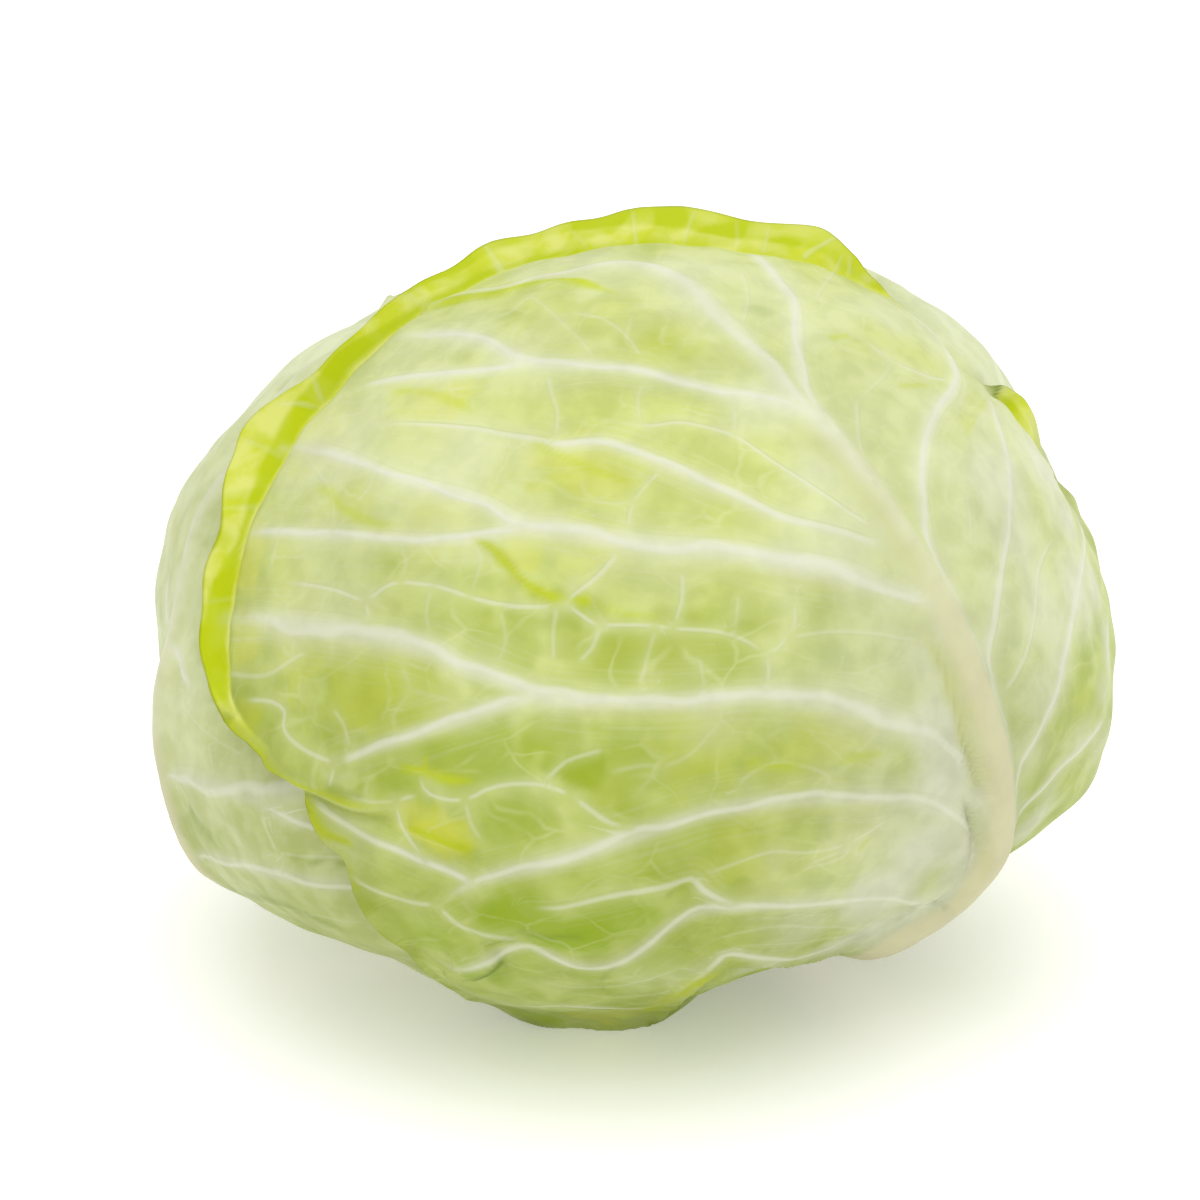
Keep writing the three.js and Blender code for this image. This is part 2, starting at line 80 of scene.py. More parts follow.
# Heart: how far it lies under the leaves, its folds, which climb in a spiral, and its mesh's rings and
# the points in each
HEART_GAP = 1.0
FOLD_HEIGHT = 0.8
FOLD_TURN = 137.5
HEART_RINGS = 119
HEART_COLUMNS = 240

# Layers of leaf: how far each lies under the one outside it, how thick a blade is, and how thick at its
# edge, how far in from there it thins, at so many millimetres to a degree, and how the layers' depth
# fades past an edge, in degrees
LAYER = 2.4
BLADE_THICKNESS = 1.3
MARGIN_THICKNESS = 0.7
THINNING_REACH = 8.0
MM_PER_DEGREE = 1.6
RECESS_REACH = 0.7
RECESS_FADE = 5.5

# View that the front leaf was read from: elevation in degrees, distance of the eye from the
# head's centre in millimetres, pixels for each millimetre there, the centre's own pixel, the picture's
# side in pixels, the camera's sensor in millimetres, and how often a line of sight is cut with the head
VIEW_ELEVATION = 20.0
VIEW_DISTANCE = 650.0
PIXELS_PER_MM = 4.84
CENTRE_PIXEL = (634.0, 645.0)
PICTURE_SIDE = 1200.0
SENSOR = 36.0
SIGHT_PASSES = 12

# Stage: half the floor's side in metres and its roughness, and the large light's place and size
FLOOR_HALF = 3.0
FLOOR_ROUGHNESS = 0.9
KEY_PLACE = (0.2, -0.6, 2.5)
KEY_SIZE = 3.0

# How many points are compared with a path, and with a leaf's edge, at a time
PATH_BATCH = 8000
EDGE_BATCH = 20000

# Irregular waves: how many sines they are made of, how far those spread in number for a length, and the
# size in millimetres and the seed of each kind of wave
RIPPLE_SINES = 10
RIPPLE_SPREAD = (0.7, 1.5)
SLOW_WAVES = (34.0, 11)
QUICK_WAVES = (11.0, 23)
MARGIN_WAVES = (16.0, 5)
HALO_WAVES = (13.0, 77)
MARK_WAVES = (6.0, 9)
PATCH_WAVES = (14.0, 3)
FRAY_WAVES = (5.0, 4)
BLOTCH_WAVES = (9.0, 31)


def unit(v):
    """Each vector divided by its own length."""
    v = np.asarray(v, float)
    return v / np.linalg.norm(v, axis=-1, keepdims=True)


TO_EYE = np.array([
    0.0, -math.cos(math.radians(VIEW_ELEVATION)), math.sin(math.radians(VIEW_ELEVATION)),
])
VIEW_RIGHT = np.array([1.0, 0.0, 0.0])
VIEW_UP = np.cross(TO_EYE, VIEW_RIGHT)
STEM_DIRECTION = unit([0.45, -0.05, -0.89])
CROWN_AXIS = np.array([-math.sin(math.radians(CROWN_LEAN)), 0.0, math.cos(math.radians(CROWN_LEAN))])
GROW_AXIS = -STEM_DIRECTION
GROW_FRONT = unit(TO_EYE - (TO_EYE @ GROW_AXIS) * GROW_AXIS)
GROW_RIGHT = np.cross(GROW_AXIS, GROW_FRONT)


def smooth(x, low, high):
    """Rises from 0 at low to 1 at high along a cubic that is level at both ends."""
    t = np.clip((x - low) / (high - low), 0.0, 1.0)
    return t * t * (3.0 - 2.0 * t)


def aim(middle, right, up, turn, away):
    """Direction away degrees from the middle one, turned by turn degrees from right towards up."""
    turn, away = np.radians(turn)[..., None], np.radians(away)[..., None]
    return np.cos(away) * middle + np.sin(away) * (np.cos(turn) * right + np.sin(turn) * up)


def seen_from_front(turn, away):
    """The same, about the direction of the eye."""
    return aim(TO_EYE, VIEW_RIGHT, VIEW_UP, np.asarray(turn, float), np.asarray(away, float))


def about_stem(turn):
    """Directions at right angles to the stem, by their turn about it in radians."""
    turn = np.asarray(turn, float)[..., None]
    return np.cos(turn) * GROW_FRONT + np.sin(turn) * GROW_RIGHT


def degrees_apart(cosine):
    """Angle that has the given cosine."""
    return np.degrees(np.arccos(np.clip(cosine, -1.0, 1.0)))


# Bulges and dents of the head: turn and degrees away as seen from the front, height, width in degrees
BULGES = [
    (196, 85, 3.5, 15), (345, 85, 6.8, 13), (22, 85, -3.5, 14), (232, 85, -9.5, 9), (268, 85, 8, 9),
    (293, 85, -8, 8), (314, 85, 3.5, 8), (330, 85, -3, 6), (160, 85, 4.5, 9), (184, 86, -3.5, 8),
    (116, 78, -3.5, 14), (76, 80, -1, 12), (153, 85, -2.2, 6), (232, 85, -4, 5), (257, 85, 3, 5),
    (291, 85, -2.6, 7), (320, 85, 1.5, 5), (352, 85, -1.6, 6), (15, 85, 1.2, 4), (27, 79, -3.2, 5),
    (38, 85, 1.6, 5), (66, 78, 3, 4), (102, 80, -1.4, 7), (125, 80, -2, 6), (141, 85, 1.5, 5),
    (195, 85, -2.2, 5), (207, 85, 1.4, 5), (222, 85, -1, 5), (190, 84, 1.4, 4), (223, 68, -1.2, 4),
    (233, 62, -4.5, 5), (256, 76, 1.8, 4), (266, 77, 1.2, 4), (290, 62, -2.4, 7), (300, 66, -1.4, 5),
    (342, 77, 0.9, 5), (128, 97, -2.5, 6), (175, 85, 1.9, 4), (210, 85, -1.8, 3), (198, 85, -0.9, 4),
    (230, 85, -1.3, 3), (241, 85, 1.3, 3), (310, 85, -1.2, 4), (6, 85, -1.2, 3), (358, 85, 0.9, 3),
    (72, 78, -1.2, 4), (115, 78, 1.2, 4), (133, 85, 1.1, 5),
]


def head_radius(d):
    """Radius of the head's outer surface: a round flattened along its crown, with Gaussian bulges."""
    c = d @ CROWN_AXIS
    pole = np.where(c > 0, CROWN_RADIUS, UNDERSIDE_RADIUS)
    r = 1.0 / np.sqrt((c / pole) ** 2 + (1.0 - c * c) / GIRTH_RADIUS ** 2)
    for turn, away, height, width in BULGES:
        angle = degrees_apart(d @ seen_from_front(turn, away))
        r = r + height * np.exp(-0.5 * (angle / width) ** 2)
    return r


def seen(pixels):
    """Directions in which pixels of the view see the head: the sight line is cut with a sphere whose
    radius is taken from the head again at each pass, and a line that misses takes its nearest point."""
    pixels = np.asarray(pixels, float)
    scale = PIXELS_PER_MM * VIEW_DISTANCE
    ray = unit(
        -TO_EYE
        + (pixels[:, :1] - CENTRE_PIXEL[0]) / scale * VIEW_RIGHT
        - (pixels[:, 1:] - CENTRE_PIXEL[1]) / scale * VIEW_UP
    )
    eye = TO_EYE * VIEW_DISTANCE
    nearest = -(ray @ eye)
    gap = VIEW_DISTANCE ** 2 - nearest ** 2
    radius = np.full(len(ray), GIRTH_RADIUS)
    for _ in range(SIGHT_PASSES):
        along = nearest - np.sqrt(np.maximum(radius ** 2 - gap, 0.0))
        d = unit(eye + ray * along[:, None])
        radius = head_radius(d)
    return d


def ripple(points, size, seed, order=0):
    """Smooth irregular waves about so many millimetres long: a sum of sines in seeded directions, over
    the root of their number. Leaves of another order have other waves."""
    draw = np.random.default_rng(seed + order)
    waves = unit(draw.normal(size=(RIPPLE_SINES, 3)))
    waves = waves * (2.0 * math.pi / size * draw.uniform(*RIPPLE_SPREAD, (RIPPLE_SINES, 1)))
    phases = draw.uniform(0.0, 2.0 * math.pi, RIPPLE_SINES)
    return np.sin(points @ waves.T + phases).sum(1) / math.sqrt(RIPPLE_SINES)


def catmull(a, b, c, e, u):
    """Value a share u of the way from b to c on the Catmull-Rom curve through a, b, c and e."""
    return b + 0.5 * u * (c - a + u * (2 * a - 5 * b + 4 * c - e + u * (3 * (b - c) + e - a)))


def round_table(rows, column=1):
    """Function of the turn that passes through the rows by a closed Catmull-Rom curve."""
    turns = np.array([row[0] for row in rows], float)
    values = np.array([row[column] for row in rows], float)
    n = len(rows)

    def read(turn):
        t = (np.asarray(turn, float) - turns[0]) % 360.0 + turns[0]
        i = np.clip(np.searchsorted(turns, t, side="right") - 1, 0, n - 1)
        end = np.where(i + 1 < n, turns[(i + 1) % n], turns[0] + 360.0)
        return catmull(*(values[(i + k) % n] for k in (-1, 0, 1, 2)), (t - turns[i]) / (end - turns[i]))

    return read


def smooth_path(corners, step=2.5):
    """Points every few millimetres on a Catmull-Rom curve through the corners."""
    p = np.vstack([2 * corners[0] - corners[1], corners, 2 * corners[-1] - corners[-2]])
    pieces = []
    for a, b, c, e in zip(p[:-3], p[1:-2], p[2:-1], p[3:]):
        count = max(2, int(np.linalg.norm(c - b) / step) + 1)
        u = np.linspace(0.0, 1.0, count, endpoint=False)[:, None]
        pieces.append(catmull(a, b, c, e, u))
    return np.vstack(pieces + [corners[-1:]])


def on_head(directions):
    """Points of the head's outer surface in the given directions."""
    return directions * head_radius(directions)[:, None]


def seen_path(pixels):
    """Smooth path on the head's surface through pixels of the view."""
    return smooth_path(on_head(seen(pixels)))


def steps_of(path):
    """Length of each step of a path."""
    return np.linalg.norm(np.diff(path, axis=0), axis=1)


def shares_along(path):
    """Share of a path's length at each of its points."""
    steps = np.concatenate([[0.0], np.cumsum(steps_of(path))])
    return steps / steps[-1]


def fading_ends(share, part):
    """1 along a path, falling to 0 over a part of its length at each end."""
    return smooth(share, 0.0, part) * (1.0 - smooth(share, 1.0 - part, 1.0))


def measure(points, outward, path, reach):
    """For the points within reach of a path: their indices, distance to its nearest segment, side of
    it (+1 on the left as seen from outside) and share of the path's length there."""
    near = np.flatnonzero(np.all((points > path.min(0) - reach) & (points < path.max(0) + reach), axis=1))
    a, ab = path[:-1], path[1:] - path[:-1]
    length2 = np.maximum((ab * ab).sum(1), 1e-9)
    lengths = np.sqrt(length2)
    start = np.concatenate([[0.0], np.cumsum(lengths)[:-1]])
    dist, side, share = (np.empty(len(near)) for _ in range(3))
    for low in range(0, len(near), PATH_BATCH):
        part = slice(low, low + PATH_BATCH)
        p = points[near[part]]
        t = np.clip(((p[:, None] - a) * ab).sum(2) / length2, 0.0, 1.0)
        gaps = np.linalg.norm(p[:, None] - (a + t[..., None] * ab), axis=2)
        best = gaps.argmin(1)
        row = np.arange(len(p))
        dist[part] = gaps[row, best]
        turned = np.cross(ab[best], p - a[best])
        side[part] = np.where((turned * outward[near[part]]).sum(1) >= 0.0, 1.0, -1.0)
        share[part] = (start[best] + t[row, best] * lengths[best]) / lengths.sum()
    keep = dist < reach
    return near[keep], dist[keep], side[keep], share[keep]


# Ribs of the leaves further in, by rank: half width and height at the root and at the tip, and how
# pale they are
MIDRIB = {"wide": (7.2, 2.0), "high": (4.4, 1.0), "pale": 0.8}
MAJOR = {"wide": (1.9, 0.9), "high": (1.3, 0.5), "pale": 0.9}
MEDIUM = {"wide": (1.1, 0.6), "high": (0.6, 0.3), "pale": 0.7}
MINOR = {"wide": (0.6, 0.45), "high": (0.3, 0.2), "pale": 0.5}

# Ribs and veins read from the view. A rib's height is RISE times a power of its half width. A fine
# vein has a share of its width in pixels as half width, and shares of that as its narrower end and as
# its heights
RISE, RISE_POWER = 0.26, 1.2
VEIN_SHARE, VEIN_NARROWING = 0.42, 0.8
VEIN_HEIGHTS = (0.22, 0.12)
MARGIN_VEIN_NARROWING = 0.4
MARGIN_VEIN_HEIGHTS = (0.25, 0.05)

# Front leaf's midrib: heights for some half widths, and where and how wide it is before its first pixel
MIDRIB_WIDTHS = (0.8, 2.4, 4.5, 7.0)
MIDRIB_HEIGHTS = (0.25, 0.9, 3.0, 4.4)
MIDRIB_ROOTS = (0.15, 0.45, 0.75)
MIDRIB_ROOT_WIDTH = 7.0
FRONT_MIDRIB_PALE = 0.9

# Profile of a rib across, in its own half widths: exp of minus a power for the rib, a low broad foot,
# and a shallow trough beside it, which a higher rib near by fills
MIDRIB_POWER, RIB_POWER = 3.0, 2.2
FOOT_HEIGHT, FOOT_SPREAD, FOOT_MARGIN = 0.35, 1.5, 1.0
TROUGH_DEPTH, TROUGH_PLACE, TROUGH_WIDTH = 0.16, 1.7, 0.45
FILLED_CUBES = 0.4

# Tip of a rib: the share of the way where it starts to sink, and what is left there of its height and
# of its paleness
RIB_TIP, TIP_HEIGHT, TIP_PALE = 0.86, 0.25, 0.35

# Colour of a rib, in millimetres: the pale halo's reach, which grows with the rib, its strength, its
# power and the share of the rib that it starts from; the band's width in half widths, and the half
# widths between which it sets in
HALO_LEAST, HALO_GROWTH, HALO_MOST = 0.9, 0.75, 3.2
HALO_STRENGTH, HALO_POWER, HALO_START = 0.6, 1.3, 0.7
HALO_SIGHT, RIB_SIGHT = 2.4, 1.3
BAND_SPREAD, BAND_WIDTHS = 0.8, (0.7, 1.3)

# Cream core of a midrib: half widths between which it sets in, half widths between which it fills the
# rib more fully, and where across the rib it starts and ends to fade, each with what fullness adds
CREAM_WIDTHS, FULL_WIDTHS = (3.0, 4.6), (5.0, 6.2)
CREAM_FADE = ((0.45, 0.3), (0.95, 0.12))

# Fine line and fibres: half width of the thinnest line, half widths of a midrib between which its line
# fades, share of the way over which a line sets in, least half width of a rib that has fibres, how far
# one rib's fibres are shifted against another's, and the gap of a point that no rib is near
LEAST_LINE = 0.5
LINE_FADES = (2.4, 3.4)
LINE_START = 0.03
FIBRED_RIB = 1.2
FIBRE_SHIFT = 31.0
FAR = 30.0

# Front leaf: midrib and ribs, by the pixels that they cross in the view and their width there
FRONT_MIDRIB = [
    (899, 926, 82), (947, 898, 76), (984, 850, 58), (993, 800, 46), (986, 740, 46), (966, 670, 45),
    (942, 612, 42), (905, 548, 38), (868, 490, 34), (825, 432, 30), (790, 395, 26), (760, 358, 25),
    (720, 318, 27), (680, 284, 27), (640, 264, 22), (600, 265, 16), (560, 276, 14), (500, 287, 14),
    (450, 298, 12), (400, 320, 9),
]
FRONT_RIBS = [
    [(845, 455, 22), (825, 432, 22), (800, 412, 20), (775, 401, 18), (720, 391, 18), (690, 384, 18),
     (640, 374, 18), (600, 368, 18), (560, 365, 18), (530, 362, 20), (505, 352, 18), (480, 341, 18),
     (440, 334, 20), (400, 338, 20)],
    [(525, 364, 12), (480, 372, 13), (440, 375, 13), (400, 377, 12), (360, 386, 9)],
    [(880, 545, 9), (850, 535, 9), (785, 518, 11), (740, 496, 13), (700, 478, 14), (650, 457, 14),
     (620, 445, 13), (600, 441, 13), (560, 445, 12), (540, 440, 8), (500, 433, 7), (480, 428, 6),
     (430, 424, 6), (370, 425, 6)],
    [(962, 645, 16), (938, 614, 16), (915, 598, 18), (880, 585, 20), (840, 572, 26), (800, 566, 28),
     (770, 560, 26), (740, 553, 24), (700, 548, 22), (650, 545, 22), (600, 538, 22), (560, 530, 24),
     (520, 524, 22), (480, 500, 16), (440, 488, 15), (400, 478, 14), (370, 465, 13), (340, 455, 18),
     (300, 446, 18), (280, 447, 12)],
    [(525, 528, 16), (480, 535, 14), (440, 538, 13), (400, 538, 14), (340, 535, 14), (290, 532, 13),
     (250, 532, 12)],
    [(985, 806, 18), (977, 778, 22), (955, 752, 24), (930, 735, 24), (900, 722, 26), (870, 712, 28),
     (840, 704, 28), (800, 697, 24), (760, 695, 20), (720, 698, 20), (690, 702, 19), (650, 703, 19),
     (600, 702, 20), (560, 699, 22), (535, 694, 22), (515, 685, 20), (490, 675, 20), (460, 664, 20),
     (440, 651, 22), (400, 640, 26), (370, 635, 26), (340, 628, 28), (300, 624, 28), (260, 619, 26),
     (225, 618, 22)],
    [(530, 697, 18), (500, 705, 17), (470, 715, 17), (440, 725, 16), (410, 735, 15), (380, 746, 12),
     (350, 757, 10), (335, 763, 8)],
    [(958, 876, 15), (968, 850, 15), (966, 833, 14), (955, 815, 14), (935, 803, 15), (900, 799, 17),
     (860, 797, 18), (820, 797, 18), (780, 802, 18), (740, 808, 17), (700, 815, 16), (660, 828, 18),
     (620, 840, 19), (580, 853, 20), (540, 865, 20), (500, 875, 17), (470, 886, 14), (450, 897, 9),
     (435, 908, 8)],
    [(470, 885, 13), (445, 870, 12), (420, 861, 12), (395, 850, 11), (370, 840, 10), (350, 828, 9),
     (325, 812, 9), (305, 790, 8)],
    [(925, 903, 20), (905, 897, 15), (880, 898, 14), (850, 902, 15), (800, 904, 16), (760, 905, 17),
     (720, 907, 18), (700, 910, 15), (680, 920, 13), (660, 935, 14), (640, 952, 18), (610, 966, 20),
     (580, 966, 18), (555, 957, 15), (530, 946, 13), (510, 948, 13), (490, 956, 14), (468, 965, 13),
     (450, 966, 11), (435, 957, 8)],
    [(735, 905, 13), (715, 898, 12), (700, 888, 11), (692, 878, 9), (670, 885, 8), (640, 892, 9),
     (600, 900, 8), (560, 908, 7), (530, 908, 6)],
    [(862, 938, 10), (800, 955, 11), (760, 953, 12), (730, 947, 13), (715, 955, 11), (700, 970, 10),
     (680, 986, 9), (662, 1002, 10), (640, 1008, 11), (600, 1007, 11), (560, 1004, 9), (520, 1004, 8),
     (480, 998, 7)],
    [(856, 470, 18), (830, 430, 16), (808, 395, 15), (798, 365, 15), (797, 330, 15), (793, 303, 15),
     (778, 283, 16), (763, 264, 17), (748, 248, 14)],
    [(1008, 800, 9), (1006, 760, 11), (1000, 715, 13), (985, 672, 15), (966, 630, 15), (946, 588, 14),
     (933, 552, 15), (924, 510, 16), (922, 470, 17), (926, 435, 16), (938, 408, 14), (955, 390, 15),
     (958, 370, 15), (945, 345, 12), (925, 325, 10), (905, 310, 10), (890, 299, 9)],
    [(996, 700, 14), (990, 660, 14), (993, 630, 12), (998, 600, 11), (1003, 565, 12), (1010, 530, 14),
     (1012, 500, 14), (1008, 465, 13), (1000, 435, 12), (990, 405, 11), (985, 390, 9)],
    [(1010, 800, 10), (1022, 762, 11), (1040, 728, 16), (1053, 700, 18), (1061, 675, 17),
     (1069, 640, 15), (1078, 600, 13), (1082, 560, 12), (1082, 530, 11), (1070, 500, 9),
     (1050, 480, 8), (1035, 455, 7), (1025, 435, 6)],
    [(1012, 822, 10), (1030, 800, 12), (1047, 783, 14), (1066, 764, 14), (1086, 744, 13),
     (1104, 716, 11)],
]

# Front leaf: finer veins, with one width in pixels and how pale they are
FRONT_VEINS = [
    (6, 0.9, [(875, 530), (840, 506), (800, 478), (770, 458), (740, 437), (710, 428), (680, 422),
              (650, 425), (615, 420)]),
    (8, 0.9, [(616, 556), (600, 575), (580, 590), (566, 601)]),
    (6, 0.9, [(568, 605), (585, 618), (600, 625), (640, 625), (680, 629), (720, 632), (748, 642),
              (768, 656)]),
    (7, 0.7, [(768, 656), (768, 690)]),
    (5, 0.7, [(768, 656), (785, 640), (795, 622), (793, 605)]),
    (6, 0.5, [(792, 637), (830, 632), (870, 633), (925, 642)]),
    (7, 0.9, [(568, 602), (540, 606), (505, 605), (470, 597), (440, 587), (400, 582), (382, 588),
              (365, 600), (340, 591), (310, 585), (285, 582)]),
    (6, 0.8, [(365, 600), (370, 622)]),
    (6, 0.7, [(682, 575), (682, 600), (674, 626)]),
    (4, 0.5, [(738, 598), (735, 630)]),
    (7, 0.5, [(556, 607), (552, 635), (553, 662)]),
    (7, 0.6, [(600, 627), (592, 648), (578, 662)]),
    (6, 0.4, [(655, 632), (648, 655), (640, 686)]),
    (6, 0.4, [(700, 660), (705, 690)]),
    (8, 0.9, [(335, 763), (310, 752), (290, 738), (282, 725), (283, 712), (268, 702), (242, 700)]),
    (6, 0.8, [(335, 763), (332, 786)]),
    (5, 0.6, [(335, 710), (345, 725), (350, 748)]),
    (8, 0.6, [(225, 674), (260, 676), (285, 664), (310, 650)]),
    (9, 0.9, [(632, 832), (610, 824), (590, 810), (572, 795)]),
    (7, 0.9, [(575, 797), (545, 785), (510, 784), (485, 790), (465, 800), (440, 797), (425, 788),
              (422, 770)]),
    (5, 0.6, [(465, 800), (470, 822), (480, 842)]),
    (7, 0.8, [(425, 862), (410, 842), (400, 822), (398, 802), (420, 794)]),
    (5, 0.6, [(398, 802), (375, 800), (350, 795)]),
    (9, 0.9, [(520, 938), (490, 934), (462, 927), (446, 914), (435, 906), (410, 902), (380, 893),
              (360, 883), (348, 868)]),
    (6, 0.7, [(548, 778), (565, 762), (585, 755), (605, 750)]),
    (5, 0.4, [(614, 772), (640, 766), (665, 766), (690, 756), (706, 740), (722, 722)]),
    (4, 0.3, [(662, 768), (650, 780), (638, 792)]),
    (5, 0.5, [(740, 788), (748, 778), (775, 763), (805, 766), (828, 776), (828, 794)]),
    (5, 0.7, [(885, 822), (860, 838), (830, 850), (800, 853), (775, 852), (740, 862), (700, 876)]),
    (5, 0.5, [(850, 835), (846, 855), (800, 872)]),
    (4, 0.6, [(862, 925), (820, 926), (780, 924), (740, 930), (705, 938)]),
    (4, 0.5, [(850, 935), (800, 940), (740, 942), (700, 952)]),
    (4, 0.6, [(820, 958), (770, 966), (725, 962)]),
    (5, 0.5, [(700, 966), (670, 968), (630, 985), (590, 990), (540, 982)]),
    (4, 0.5, [(690, 975), (660, 992), (620, 998), (570, 995)]),
    (6, 0.8, [(955, 377), (935, 376), (910, 370), (885, 358), (862, 342)]),
    (8, 0.5, [(864, 470), (858, 430), (856, 395)]),
    (5, 0.4, [(858, 400), (885, 375), (890, 362)]),
    (6, 0.4, [(972, 540), (970, 515), (965, 492)]),
    (8, 0.8, [(1008, 690), (1022, 662), (1033, 630), (1040, 592), (1046, 562), (1056, 535)]),
    (5, 0.5, [(815, 300), (835, 270), (845, 255)]),
    (5, 0.5, [(740, 330), (748, 300), (740, 270)]),
    (5, 0.6, [(640, 356), (625, 335), (600, 317), (570, 312)]),
    (4, 0.5, [(600, 367), (580, 340), (560, 320), (530, 298), (510, 312), (480, 325)]),
    (7, 0.5, [(548, 378), (552, 395), (558, 415), (555, 440)]),
    (5, 0.5, [(640, 420), (638, 400), (645, 380)]),
    (5, 0.5, [(735, 432), (735, 410), (728, 395)]),
    (6, 0.6, [(660, 470), (640, 492), (630, 512), (628, 538)]),
    (4, 0.5, [(632, 500), (615, 505), (590, 500)]),
    (5, 0.5, [(370, 466), (368, 485), (355, 502)]),
    (4, 0.5, [(300, 450), (318, 475), (330, 500), (332, 530)]),
    (4, 0.4, [(280, 530), (275, 555), (270, 582)]),
    (4, 0.4, [(395, 540), (405, 560), (400, 580)]),
    (4, 0.4, [(470, 540), (480, 560), (470, 594)]),
    (4, 0.4, [(500, 612), (505, 640), (495, 668)]),
    (4, 0.5, [(430, 590), (425, 615), (432, 640)]),
    (3, 0.5, [(225, 640), (260, 638), (300, 640), (340, 645), (400, 655)]),
    (3, 0.4, [(400, 735), (395, 715), (410, 690), (400, 660)]),
    (3, 0.4, [(410, 690), (450, 700), (470, 712)]),
    (4, 1.0, [(202, 672), (206, 692), (222, 722), (240, 742), (262, 762), (300, 784), (330, 803),
              (360, 813), (396, 807)]),
]

# Front leaf: veins that run out over the standing margin: turn where they cross it, slant in
# degrees, width in pixels and how pale they are
MARGIN_VEINS = [
    (57.5, 1.5, 6, 0.35), (60.5, 1.5, 6, 0.4), (65, -3.0, 8, 0.5), (72, 0.5, 5, 0.3),
    (76, 1.0, 7, 0.2), (82.5, -1.0, 6, 0.3), (90, 0.5, 6, 0.4), (98, 2.5, 5, 0.2), (110, 1.0, 12, 0.3),
    (121, 3.0, 7, 0.25), (141, -3.0, 8, 0.4), (144.5, 3.0, 8, 0.4), (152, 0.5, 10, 0.2),
    (161, 2.0, 9, 0.2), (174, 1.0, 7, 0.15),
]

# Front leaf: laps, where one side of the blade stands over the other like a lip: pixels, height in
# millimetres on the left of the path seen from outside (below 0 on its right), reach of the swell
# and how strongly painted shade, in the fold colour, fills the groove on its low side
FRONT_LAPS = [
    ([(262, 757), (300, 782), (350, 806), (398, 808)], 1.9, 7.0, 0.5),
    ([(955, 790), (963, 822), (962, 850), (949, 876), (925, 897), (893, 906), (866, 920), (834, 941)],
     -2.0, 8.0, 0.0),
    ([(436, 966), (455, 975), (475, 976), (492, 969), (504, 950)], 1.8, 5.0, 0.0),
    ([(610, 286), (560, 285), (500, 292), (450, 303), (405, 320)], -0.9, 4.0, 0.3),
    ([(986, 392), (974, 412), (964, 434)], 0.9, 4.0, 0.3),
    ([(860, 946), (800, 962), (740, 960), (718, 968), (692, 988), (665, 1012), (640, 1018)],
     -1.6, 6.0, 0.4),
    ([(640, 985), (690, 955), (720, 935)], 0.8, 5.0, 0.2),
    ([(480, 944), (520, 939), (560, 948)], 1.2, 5.0, 0.3),
    ([(475, 538), (505, 556), (528, 584), (560, 600)], 0.9, 5.0, 0.0),
    ([(403, 825), (430, 838), (455, 848), (478, 853)], 0.9, 4.0, 0.0),
    ([(650, 910), (680, 882), (700, 880)], 0.8, 4.0, 0.2),
]

# Front leaf: grooves, by half width and depth in millimetres and pixels
FRONT_GROOVES = [
    (1.3, 1.6, [(920, 622), (945, 664), (957, 700), (965, 735), (973, 770), (981, 800), (984, 820)]),
    (1.0, 0.7, [(960, 800), (970, 825), (973, 855), (966, 872)]),
    (1.6, 0.8, [(800, 428), (840, 465), (872, 508), (900, 552), (922, 598)]),
    (1.2, 0.5, [(700, 715), (760, 712), (830, 722), (900, 745)]),
    (1.2, 0.5, [(740, 820), (800, 812), (870, 808), (930, 812)]),
    (1.1, 0.5, [(700, 922), (740, 916), (820, 913), (880, 908)]),
    (1.0, 0.5, [(560, 712), (620, 714), (680, 712)]),
    (1.0, 0.5, [(530, 385), (600, 381), (700, 398), (760, 412)]),
]
